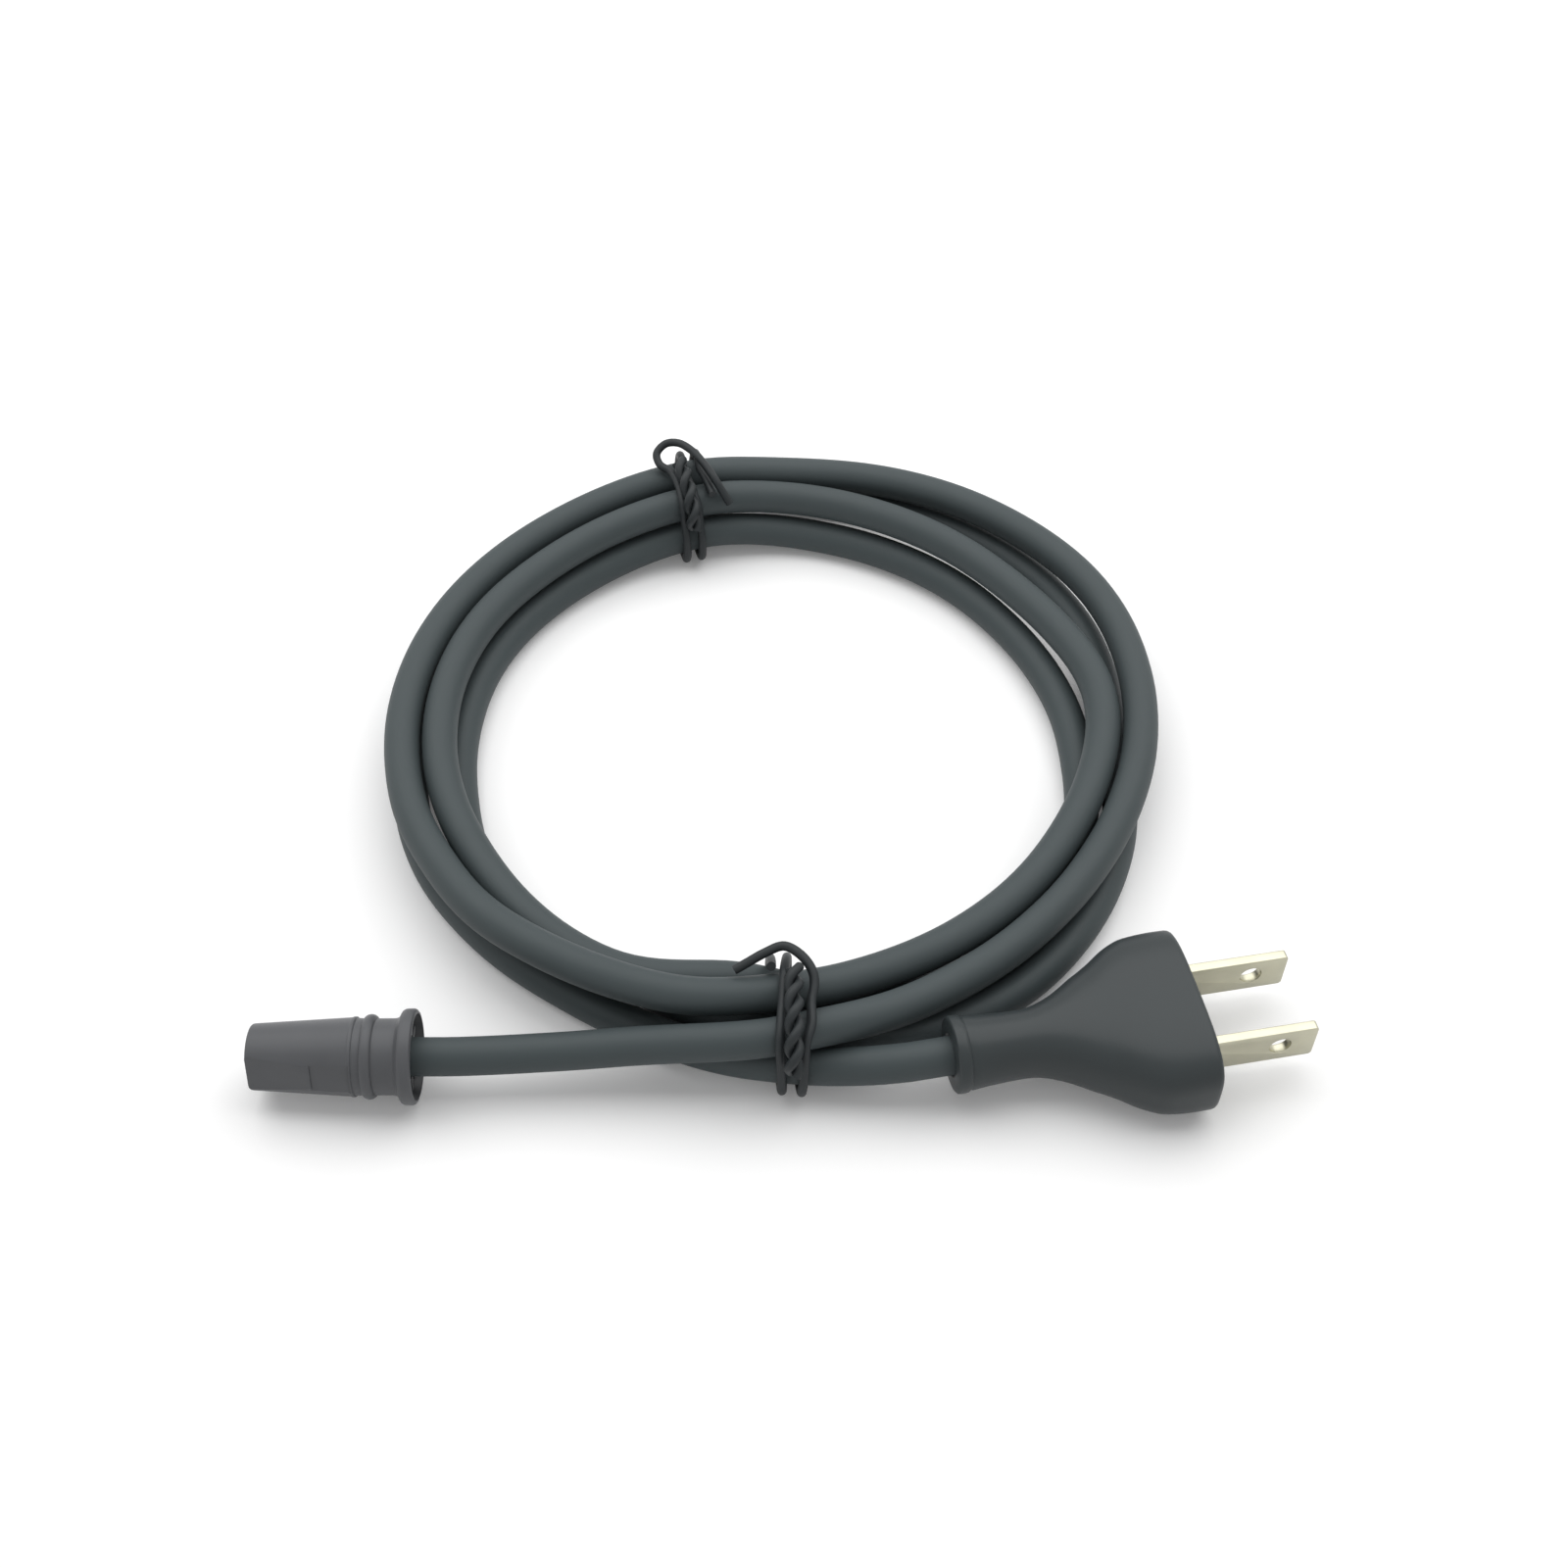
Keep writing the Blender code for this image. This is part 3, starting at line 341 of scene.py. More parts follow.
def piece(name, mesh, finish, crease=None):
    """A new object of one finish, with its place in its mesh."""
    mesh.materials.clear()
    mesh.materials.append(finish)
    if crease is not None:
        smoothed(mesh, crease)
    obj = bpy.data.objects.new(name, mesh)
    PIECES.objects.link(obj)
    return obj


def baked(obj, place=None):
    """Applies an object's modifiers, and its place, to its mesh."""
    bpy.context.view_layer.update()
    mesh = bpy.data.meshes.new_from_object(obj.evaluated_get(bpy.context.evaluated_depsgraph_get()))
    old = obj.data
    obj.modifiers.clear()
    obj.data = mesh
    mesh.name = obj.name
    bpy.data.meshes.remove(old)
    if place is not None:
        mesh.transform(place)
    return obj


def cut_with(obj, mesh):
    """Cuts a mesh from an object at once."""
    tool = bpy.data.objects.new("cutting tool", mesh)
    PIECES.objects.link(tool)
    modifier = obj.modifiers.new("cut", "BOOLEAN")
    modifier.operation = "DIFFERENCE"
    modifier.solver = "EXACT"
    modifier.object = tool
    baked(obj)
    bpy.data.objects.remove(tool, do_unlink=True)
    bpy.data.meshes.remove(mesh)


def finished(bm, name):
    """A mesh with its doubles merged and its faces pointing outwards."""
    bmesh.ops.remove_doubles(bm, verts=bm.verts, dist=1e-6)
    bmesh.ops.recalc_face_normals(bm, faces=bm.faces)
    mesh = bpy.data.meshes.new(name)
    bm.to_mesh(mesh)
    bm.free()
    return mesh


def turned_mesh(name, profile, steps):
    """A profile of (x, radius) pairs turned once about the X axis."""
    bm = bmesh.new()
    verts = [bm.verts.new((x, 0.0, radius)) for x, radius in profile]
    for first, second in zip(verts, verts[1:]):
        bm.edges.new((first, second))
    bmesh.ops.spin(
        bm, geom=bm.verts[:] + bm.edges[:], axis=(1, 0, 0), cent=(0, 0, 0), angle=math.tau, steps=steps,
        use_merge=True,
    )
    return finished(bm, name)


def box_mesh(name, low, high):
    size = Vector(high) - Vector(low)
    middle = (Vector(high) + Vector(low)) / 2
    bm = bmesh.new()
    bmesh.ops.create_cube(bm, size=1.0, matrix=Matrix.Translation(middle) @ Matrix.Diagonal((*size, 1.0)))
    return finished(bm, name)


def drawn_mesh(name, outline, low, high, axis="Y"):
    """A flat outline of (x, other) pairs drawn out between two places along Y or Z."""
    bm = bmesh.new()
    if axis == "Y":
        ring = [bm.verts.new((x, low, other)) for x, other in outline]
        way = (0, high - low, 0)
    else:
        ring = [bm.verts.new((x, other, low)) for x, other in outline]
        way = (0, 0, high - low)
    grown = bmesh.ops.extrude_face_region(bm, geom=[bm.faces.new(ring)])
    moved = [item for item in grown["geom"] if isinstance(item, bmesh.types.BMVert)]
    bmesh.ops.translate(bm, verts=moved, vec=way)
    return finished(bm, name)


# Finishes


def new_group(name, inputs, outputs):
    tree = bpy.data.node_groups.new(name, "ShaderNodeTree")
    for label, kind, value in inputs:
        socket = tree.interface.new_socket(label, in_out="INPUT", socket_type=kind)
        socket.default_value = value
    for label, kind in outputs:
        tree.interface.new_socket(label, in_out="OUTPUT", socket_type=kind)
    return tree, tree.nodes.new("NodeGroupInput"), tree.nodes.new("NodeGroupOutput")


def maths(tree, operation, first, second):
    node = tree.nodes.new("ShaderNodeMath")
    node.operation = operation
    for socket, value in zip(node.inputs, (first, second)):
        if isinstance(value, (int, float)):
            socket.default_value = value
        else:
            tree.links.new(value, socket)
    return node.outputs[0]


def noise(tree, vector, scale, detail):
    node = tree.nodes.new("ShaderNodeTexNoise")
    node.inputs["Detail"].default_value = detail
    if isinstance(scale, (int, float)):
        node.inputs["Scale"].default_value = scale
    else:
        tree.links.new(scale, node.inputs["Scale"])
    tree.links.new(vector, node.inputs["Vector"])
    return node.outputs["Fac"]


def make_skin_group():
    """Moulded or drawn PVC: faint cloudy tone, and a fine grain that breaks up the gloss."""
    tree, given, out = new_group(
        "pvc skin",
        (
            ("Vector", "NodeSocketVector", (0.0, 0.0, 0.0)),
            ("Colour", "NodeSocketColor", (0.1, 0.1, 0.1, 1.0)),
            ("Roughness", "NodeSocketFloat", 0.45),
            ("Cloud", "NodeSocketFloat", 0.12),
            ("Cloud Scale", "NodeSocketFloat", 160.0),
            ("Grain Scale", "NodeSocketFloat", 4200.0),
        ),
        (("Colour", "NodeSocketColor"), ("Roughness", "NodeSocketFloat"), ("Height", "NodeSocketFloat")),
    )
    cloud = noise(tree, given.outputs["Vector"], given.outputs["Cloud Scale"], 3.0)
    grain = noise(tree, given.outputs["Vector"], given.outputs["Grain Scale"], 2.0)
    swing = maths(tree, "MULTIPLY", maths(tree, "SUBTRACT", cloud, 0.5), given.outputs["Cloud"])
    shade = tree.nodes.new("ShaderNodeHueSaturation")
    tree.links.new(given.outputs["Colour"], shade.inputs["Color"])
    tree.links.new(maths(tree, "ADD", maths(tree, "MULTIPLY", swing, 2.0), 1.0), shade.inputs["Value"])
    tree.links.new(shade.outputs["Color"], out.inputs["Colour"])
    speck = maths(tree, "MULTIPLY", maths(tree, "SUBTRACT", grain, 0.5), 0.10)
    cloudy = maths(tree, "ADD", given.outputs["Roughness"], swing)
    tree.links.new(maths(tree, "ADD", cloudy, speck), out.inputs["Roughness"])
    tree.links.new(grain, out.inputs["Height"])
    return tree


SKIN = make_skin_group()


def new_material(name):
    made = bpy.data.materials.new(name)
    made.use_nodes = True
    return made, made.node_tree, made.node_tree.nodes["Principled BSDF"]


def bumped(tree, shader, height, strength, depth):
    """Raises a surface by a height pattern. The depth is in millimetres."""
    bump = tree.nodes.new("ShaderNodeBump")
    bump.inputs["Strength"].default_value = strength
    bump.inputs["Distance"].default_value = depth * MM
    tree.links.new(height, bump.inputs["Height"])
    tree.links.new(bump.outputs["Normal"], shader.inputs["Normal"])


def pvc(name, colour, roughness, cloud=0.12, cloud_scale=160.0, grain_scale=4200.0, depth=0.02, along=None):
    """A satin PVC finish. along is for a tube: by its UV map, the pattern runs along it at that scale."""
    made, tree, shader = new_material(name)
    shader.inputs["Specular IOR Level"].default_value = PVC_GLOSS
    where = tree.nodes.new("ShaderNodeTexCoord")
    source = where.outputs["Object"]
    if along is not None:
        mapping = tree.nodes.new("ShaderNodeMapping")
        mapping.inputs["Scale"].default_value = (1.0, along, 1.0)
        tree.links.new(where.outputs["UV"], mapping.inputs["Vector"])
        source = mapping.outputs["Vector"]
    skin = tree.nodes.new("ShaderNodeGroup")
    skin.node_tree = SKIN
    tree.links.new(source, skin.inputs["Vector"])
    skin.inputs["Colour"].default_value = (*colour, 1.0)
    skin.inputs["Roughness"].default_value = roughness
    skin.inputs["Cloud"].default_value = cloud
    skin.inputs["Cloud Scale"].default_value = cloud_scale
    skin.inputs["Grain Scale"].default_value = grain_scale
    tree.links.new(skin.outputs["Colour"], shader.inputs["Base Color"])
    tree.links.new(skin.outputs["Roughness"], shader.inputs["Roughness"])
    bumped(tree, shader, skin.outputs["Height"], PVC_GRAIN, depth)
    return made


def metal(name, colour, roughness):
    """Stamped or drawn metal with a fine brushed grain along X, and a faint cloudy tarnish."""
    darkest, lightest = 0.86, 1.08
    scratch_scale, cloud_scale = 2600.0, 240.0
    unevenness, scratch_depth = 0.16, 0.006
    made, tree, shader = new_material(name)
    shader.inputs["Metallic"].default_value = 1.0
    where = tree.nodes.new("ShaderNodeTexCoord")
    mapping = tree.nodes.new("ShaderNodeMapping")
    mapping.inputs["Scale"].default_value = (0.06, 1.0, 1.0)
    tree.links.new(where.outputs["Object"], mapping.inputs["Vector"])
    scratch = noise(tree, mapping.outputs["Vector"], scratch_scale, 3.0)
    cloud = noise(tree, where.outputs["Object"], cloud_scale, 2.0)
    tone = tree.nodes.new("ShaderNodeMix")
    tone.data_type = "RGBA"
    tone.inputs["A"].default_value = (*[value * darkest for value in colour], 1.0)
    tone.inputs["B"].default_value = (*[min(value * lightest, 1.0) for value in colour], 1.0)
    tree.links.new(cloud, tone.inputs["Factor"])
    tree.links.new(tone.outputs["Result"], shader.inputs["Base Color"])
    swing = maths(tree, "MULTIPLY", scratch, unevenness)
    tree.links.new(maths(tree, "ADD", swing, roughness - unevenness / 2), shader.inputs["Roughness"])
    bumped(tree, shader, scratch, METAL_GRAIN, scratch_depth)
    return made


CORD_PVC = pvc(
    "cord sheath pvc", (0.052, 0.065, 0.068), 0.56,
    cloud=0.10, cloud_scale=90.0, grain_scale=2600.0, depth=0.03, along=0.12,
)
PLUG_PVC = pvc("plug moulding pvc", (0.031, 0.038, 0.040), 0.36, cloud=0.07)
CONNECTOR_PVC = pvc("connector moulding pvc", (0.088, 0.091, 0.097), 0.42, cloud=0.10)
TIE_PVC = pvc("twist tie pvc", (0.019, 0.023, 0.025), 0.5, cloud=0.08, along=0.2)
BRIDGE_PLASTIC = pvc("blade bridge plastic", (0.060, 0.062, 0.066), 0.5)
INSERT_PLASTIC = pvc("contact insert plastic", (0.030, 0.030, 0.034), 0.5)
BROWN_PVC = pvc("brown core pvc", (0.16, 0.07, 0.03), 0.45)
BLUE_PVC = pvc("blue core pvc", (0.03, 0.10, 0.35), 0.45)
NICKEL = metal("nickel-plated blade", (0.48, 0.465, 0.36), 0.36)
BRASS = metal("contact brass", (0.78, 0.60, 0.28), 0.30)
COPPER = metal("copper strands", (0.72, 0.33, 0.18), 0.35)


# The cord


def make_cord():
    route = cord_route()
    mesh = tube_mesh("cord_sheath", route, CORD_DIA / 2, CORD_SIDES)
    return piece("cord_sheath", mesh, CORD_PVC, crease=TUBE_CREASE), route


# The plug


def plug_rows():
    """Sections along the plug: place, half width, half thickness, and squareness, where 2 is round.

    The waist and the flare are shares of the stretch's length, and of the way from the neck's size to the
    head's. The eased edges of the collar and of the face are in millimetres.
    """
    back = PLUG_FACE_X - PLUG_LENGTH
    neck = PLUG_NECK_DIA / 2
    collar = PLUG_COLLAR_DIA / 2
    wide, thick = PLUG_WIDTH / 2, PLUG_THICKNESS / 2
    start = back + PLUG_COLLAR_LENGTH
    collar_back = ((0.0, 0.55), (0.10, 0.25), (0.30, 0.06), (0.60, 0.0))
    collar_front = ((-0.80, 0.0), (-0.45, 0.06), (-0.20, 0.20), (0.0, 0.36))
    rows = []
    for place, edge in ((back, collar_back), (start, collar_front)):
        for along, inset in edge:
            radius = collar - inset * MM
            rows.append((place + along * MM, radius, radius, ROUND_SECTION))
    face = PLUG_FACE_X
    head_start = face - PLUG_HEAD_LENGTH
    waist = (
        (0.045, 0.05, 0.20, ROUND_SECTION), (0.41, 0.02, 0.09, ROUND_SECTION), (1.0, 0.0, 0.0, ROUND_SECTION),
    )
    flare = (
        (0.105, 0.02, 0.03, 2.05), (0.22, 0.14, 0.19, 2.2), (0.30, 0.275, 0.31, 2.3),
        (0.37, 0.41, 0.42, 2.4), (0.446, 0.54, 0.53, 2.5), (0.513, 0.66, 0.64, 2.7),
        (0.577, 0.79, 0.74, 2.9), (0.641, 0.895, 0.83, 3.0), (0.705, 0.965, 0.90, 3.1),
        (0.782, 0.992, 0.95, 3.2), (0.872, 1.0, 0.98, HEAD_SECTION),
    )
    ends = []
    for first, last, stations in ((start, head_start, waist), (head_start, face, flare)):
        for share, out, up, square in stations:
            place = first + share * (last - first)
            ends.append((place, neck + out * (wide - neck), neck + up * (thick - neck), square))
    ends.append((face - 0.9 * MM, wide - 0.05 * MM, thick, HEAD_SECTION))
    for first, second, before, after in zip(ends, ends[1:], [ends[0]] + ends, ends[2:] + [ends[-1]]):
        for step in range(ROWS_BETWEEN):
            rows.append(tuple(hermite(first, second, before, after, step / ROWS_BETWEEN)))
    rows.append(ends[-1])
    face_edge = ((0.50, 0.14, 0.06), (0.22, 0.32, 0.22), (0.06, 0.55, 0.44), (0.0, 0.8, 0.7))
    for before, side, top in face_edge:
        rows.append((face - before * MM, wide - side * MM, thick - top * MM, HEAD_SECTION))
    return rows


def hermite(first, second, before, after, share):
    """Eases every number of a row towards the next row's, by the slopes on both sides."""
    first, second, before, after = (np.array(row) for row in (first, second, before, after))
    span = second[0] - first[0]
    slope_in = (second - before) / max(second[0] - before[0], 1e-9) * span
    slope_out = (after - first) / max(after[0] - first[0], 1e-9) * span
    t2, t3 = share ** 2, share ** 3
    row = ((2 * t3 - 3 * t2 + 1) * first + (t3 - 2 * t2 + share) * slope_in
           + (3 * t2 - 2 * t3) * second + (t3 - t2) * slope_out)
    row[0] = first[0] + share * span
    return row


def lofted(name, rows, sides):
    """A skin over sections between a circle and a rounded box, closed at both ends."""
    bm = bmesh.new()
    rings = []
    for spot, wide, thick, square in rows:
        ring = []
        for step in range(sides):
            turn = math.tau * step / sides
            across, up = math.cos(turn), math.sin(turn)
            y = math.copysign(abs(across) ** (2 / square), across) * wide
            z = math.copysign(abs(up) ** (2 / square), up) * thick
            ring.append(bm.verts.new((spot, y, z)))
        rings.append(ring)
    for first, second in zip(rings, rings[1:]):
        for step in range(sides):
            after = (step + 1) % sides
            bm.faces.new((first[step], first[after], second[after], second[step]))
    bm.faces.new(rings[0])
    bm.faces.new(rings[-1])
    return finished(bm, name)


def make_plug_body():
    back = PLUG_FACE_X - PLUG_LENGTH
    body = piece("plug_body", lofted("plug_body", plug_rows(), PLUG_SIDES), PLUG_PVC)
    pocket_back = PLUG_FACE_X - BRIDGE_INSET - BRIDGE_LENGTH
    half_width = BRIDGE_WIDTH / 2 + BRIDGE_CLEARANCE
    half_thickness = BRIDGE_THICKNESS / 2 + BRIDGE_CLEARANCE
    low = (pocket_back, -half_width, -half_thickness)
    high = (PLUG_FACE_X + 2 * MM, half_width, half_thickness)
    cut_with(body, box_mesh("pocket", low, high))
    bore = CORD_DIA / 2 + 0.03 * MM
    mouth = bore + 0.35 * MM
    cut_with(body, turned_mesh("bore", [
        (back - MM, 0.0), (back - MM, mouth), (back + 0.02 * MM, mouth), (back + 0.35 * MM, bore),
        (back + CORD_IN_PLUG, bore), (back + CORD_IN_PLUG, 0.0),
    ], HOLE_SIDES))
    smoothed(body.data, PLUG_CREASE)
    body.data.transform(plug_place())
    return body


def make_blade(pole, y):
    tip = BLADE_TIP_CHAMFER
    half = BLADE_WIDTH / 2
    back = PLUG_FACE_X - BRIDGE_INSET - BRIDGE_LENGTH + 0.3 * MM
    outline = (
        (back, -half), (BLADE_TIP_X - tip, -half), (BLADE_TIP_X, -half + tip),
        (BLADE_TIP_X, half - tip), (BLADE_TIP_X - tip, half), (back, half),
    )
    mesh = drawn_mesh(f"blade_{pole}", outline, y - BLADE_THICKNESS / 2, y + BLADE_THICKNESS / 2)
    blade = piece(f"blade_{pole}", mesh, NICKEL)
    hole = bmesh.new()
    bmesh.ops.create_cone(
        hole, cap_ends=True, segments=HOLE_SIDES, radius1=BLADE_HOLE_DIA / 2, radius2=BLADE_HOLE_DIA / 2,
        depth=4 * BLADE_THICKNESS,
        matrix=Matrix.Translation((BLADE_HOLE_X, y, 0.0)) @ Matrix.Rotation(math.pi / 2, 4, "X"),
    )
    cut_with(blade, finished(hole, "hole"))
    bevel = blade.modifiers.new("eased edges", "BEVEL")
    bevel.width = BLADE_EASE
    bevel.segments = 3
    bevel.limit_method = "ANGLE"
    bevel.angle_limit = math.radians(25)
    baked(blade, plug_place())
    smoothed(blade.data, BLADE_CREASE)
    return blade


# The connector


def connector_rows():
    """The connector's outline as (x, radius) pairs: flange, neck, bead, ring and tapered nose."""
    flange = CONN_FLANGE_DIA / 2
    neck = CONN_NECK_DIA / 2
    bead = CONN_BEAD_DIA / 2
    body = CONN_BODY_DIA / 2
    nose = CONN_NOSE_DIA / 2
    end = CONN_LENGTH
    ring = CONN_RING_X
    back = CONN_FLANGE_X
    profile = [
        (0.0, 0.0), (0.0, flange - 0.5 * MM), (0.06 * MM, flange - 0.3 * MM),
        (0.22 * MM, flange - 0.1 * MM), (0.45 * MM, flange), (1.3 * MM, flange),
        (back - 0.4 * MM, flange - 0.04 * MM), (back - 0.1 * MM, flange - 0.2 * MM),
        (back + 0.1 * MM, flange - 0.5 * MM), (back + 0.3 * MM, neck + 0.45 * MM),
        (back + 0.6 * MM, neck + 0.16 * MM), (back + 1.0 * MM, neck + 0.03 * MM), (back + 1.4 * MM, neck),
    ]
    bead_steps = 16
    for step in range(bead_steps + 1):
        turn = math.pi * step / bead_steps
        x = CONN_BEAD_X - math.cos(turn) * CONN_BEAD_WIDTH / 2
        profile.append((x, neck + (bead - neck) * math.sin(turn)))
    profile += [
        (ring, body - 0.1 * MM), (ring + 0.08 * MM, body + 0.05 * MM), (ring + 0.2 * MM, body + 0.12 * MM),
        (ring + 0.5 * MM, body + 0.12 * MM), (ring + 0.62 * MM, body + 0.06 * MM), (ring + 0.75 * MM, body),
        (end - 0.5 * MM, nose), (end - 0.25 * MM, nose - 0.05 * MM), (end - 0.08 * MM, nose - 0.18 * MM),
        (end, nose - 0.38 * MM), (end, 0.0),
    ]
    return profile


def make_connector_body():
    body = piece("connector_body", turned_mesh("connector_body", connector_rows(), CONN_SIDES), CONNECTOR_PVC)
    bore = CORD_DIA / 2 + 0.08 * MM
    cup_floor = CONN_CUP_DEPTH
    mouth = CONN_MOUTH_DIA / 2
    cut_with(body, turned_mesh("cup", [
        (-MM, 0.0), (-MM, mouth + 0.15 * MM), (0.1 * MM, mouth + 0.06 * MM), (0.35 * MM, mouth),
        (1.4 * MM, mouth - 0.35 * MM), (cup_floor * 0.85, mouth - 1.5 * MM), (cup_floor, mouth - 2.2 * MM),
        (cup_floor, bore), (CORD_IN_CONN, bore), (CORD_IN_CONN, 0.0),
    ], 2 * HOLE_SIDES))
    pocket = INSERT_DIA / 2 + INSERT_CLEARANCE
    pocket_floor = CORD_IN_CONN + 1.5 * MM
    outer_end = CONN_LENGTH + MM
    cut_with(body, turned_mesh("pocket", [
        (pocket_floor, 0.0), (pocket_floor, pocket), (outer_end, pocket), (outer_end, 0.0),
    ], POCKET_SIDES))
    side = CONN_BODY_DIA / 2
    step = CONN_LENGTH - CONN_FLAT_LENGTH
    start = CONN_RING_X + 0.3 * MM
    outside = CONN_BODY_DIA
    key = drawn_mesh("key", (
        (start, side - CONN_RECESS_DEPTH), (step, side - CONN_RECESS_DEPTH - 0.36 * MM),
        (step, side - 0.62 * MM), (outer_end, CONN_NOSE_DIA / 2 - CONN_FLAT_DEPTH),
        (outer_end, outside), (start, outside),
    ), -CONN_FLAT_HALF_WIDTH, CONN_FLAT_HALF_WIDTH, axis="Z")
    key.transform(Matrix.Rotation(CONN_FLAT_TILT, 4, "X"))
    cut_with(body, key)
    smoothed(body.data, CONN_CREASE)
    body.data.transform(connector_place())
    return body


def rib_ring_tree():
    """Geometry nodes: thin ribs set round a ring about the X axis."""
    tree = bpy.data.node_groups.new("ring of ribs", "GeometryNodeTree")
    inputs = (
        ("Ribs", "Int"), ("Ring Radius", "Float"), ("Rib Size", "Vector"), ("Place", "Vector"),
        ("Finish", "Material"),
    )
    for label, kind in inputs:
        tree.interface.new_socket(label, in_out="INPUT", socket_type=f"NodeSocket{kind}")
    tree.interface.new_socket("Geometry", in_out="OUTPUT", socket_type="NodeSocketGeometry")
    nodes, links = tree.nodes, tree.links
    given, out = nodes.new("NodeGroupInput"), nodes.new("NodeGroupOutput")
    circle = nodes.new("GeometryNodeMeshCircle")
    links.new(given.outputs["Ribs"], circle.inputs["Vertices"])
    links.new(given.outputs["Ring Radius"], circle.inputs["Radius"])
    rib = nodes.new("GeometryNodeMeshCube")
    links.new(given.outputs["Rib Size"], rib.inputs["Size"])
    where = nodes.new("GeometryNodeInputPosition")
    turn = nodes.new("FunctionNodeAlignRotationToVector")
    turn.axis = "X"
    links.new(where.outputs["Position"], turn.inputs["Vector"])
    spread = nodes.new("GeometryNodeInstanceOnPoints")
    links.new(circle.outputs["Mesh"], spread.inputs["Points"])
    links.new(rib.outputs["Mesh"], spread.inputs["Instance"])
    links.new(turn.outputs["Rotation"], spread.inputs["Rotation"])
    real = nodes.new("GeometryNodeRealizeInstances")
    links.new(spread.outputs["Instances"], real.inputs["Geometry"])
    move = nodes.new("GeometryNodeTransform")
    move.inputs["Rotation"].default_value = (0.0, math.pi / 2, 0.0)
    links.new(real.outputs["Geometry"], move.inputs["Geometry"])
    links.new(given.outputs["Place"], move.inputs["Translation"])
    paint = nodes.new("GeometryNodeSetMaterial")
    links.new(move.outputs["Geometry"], paint.inputs["Geometry"])
    links.new(given.outputs["Finish"], paint.inputs["Material"])
    links.new(paint.outputs["Geometry"], out.inputs["Geometry"])
    return tree


def make_cup_ribs():
    inside, outside = CORD_DIA / 2 + 0.3 * MM, CONN_MOUTH_DIA / 2 - 0.9 * MM
    low, high = 0.9 * MM, CONN_CUP_DEPTH + 0.1 * MM
    values = {
        "Ribs": RIB_COUNT,
        "Ring Radius": (inside + outside) / 2,
        "Rib Size": (outside - inside, RIB_THICKNESS, high - low),
        "Place": ((low + high) / 2, 0.0, 0.0),
        "Finish": CONNECTOR_PVC,
    }
    ribs = piece("connector_cup_ribs", bpy.data.meshes.new("connector_cup_ribs"), CONNECTOR_PVC)
    tree = rib_ring_tree()
    modifier = ribs.modifiers.new("ribs", "NODES")
    modifier.node_group = tree
    for item in tree.interface.items_tree:
        if item.in_out == "INPUT":
            modifier[item.identifier] = values[item.name]
    baked(ribs, connector_place())
    return ribs


# The twist ties


def ring_point(angle, radius, height, along=0.0):
    """A point at a radius and height on the coil, shifted along the coil's turn, in millimetres."""
    turn = math.radians(angle)
    out = Vector((math.cos(turn), math.sin(turn), 0.0))
    way = Vector((-math.sin(turn), math.cos(turn), 0.0))
    return COIL_CENTRE / MM + out * radius + way * along + Vector((0.0, 0.0, height))


# Each tie's way in millimetres: a radius and a height on the coil, and a shift along its turn
FRONT_TIE = (
    (55.5, 14.6, -8.5), (54.9, 15.3, -6.7), (53.9, 16.2, -4), (53.3, 16.8, -1.3), (54.9, 16.7, 1),
    (57.2, 16, 2.5), (59.1, 15.2, 2.7), (61.6, 14.5, 2.1), (65.2, 14.2, 1.9), (67.6, 13.2, 1),
    (69.1, 9.4, 0.7), (69.8, 5.3, 0.4), (69.4, 3.5, 0.3), (68.3, 2, 0.3), (66.8, 1.2, 0.2),
    (65.2, 1, 0.2), (59.3, 1, 0), (53.2, 1.2, -0.2), (50.2, 2.4, -0.4), (49.1, 5.4, -0.5),
    (50, 9.4, -0.6), (52.8, 12.9, -0.9), (56.2, 14.5, -1.4), (60.9, 14.4, -1.9), (65, 14.3, -2.4),
    (67.4, 13.2, -2.7), (68.7, 9.4, -2.6), (69.1, 5, -2.5), (68.8, 3.3, -2.5), (67.7, 1.8, -2.5),
    (66.2, 0.95, -2.5), (64.6, 0.8, -2.6), (59, 0.9, -2.8), (53, 1.4, -3), (49.6, 3, -3.1),
    (48.7, 6.2, -3.1), (50.2, 9.8, -3.1), (52.6, 12.6, -3.1), (55.4, 14.9, -3.2),
)
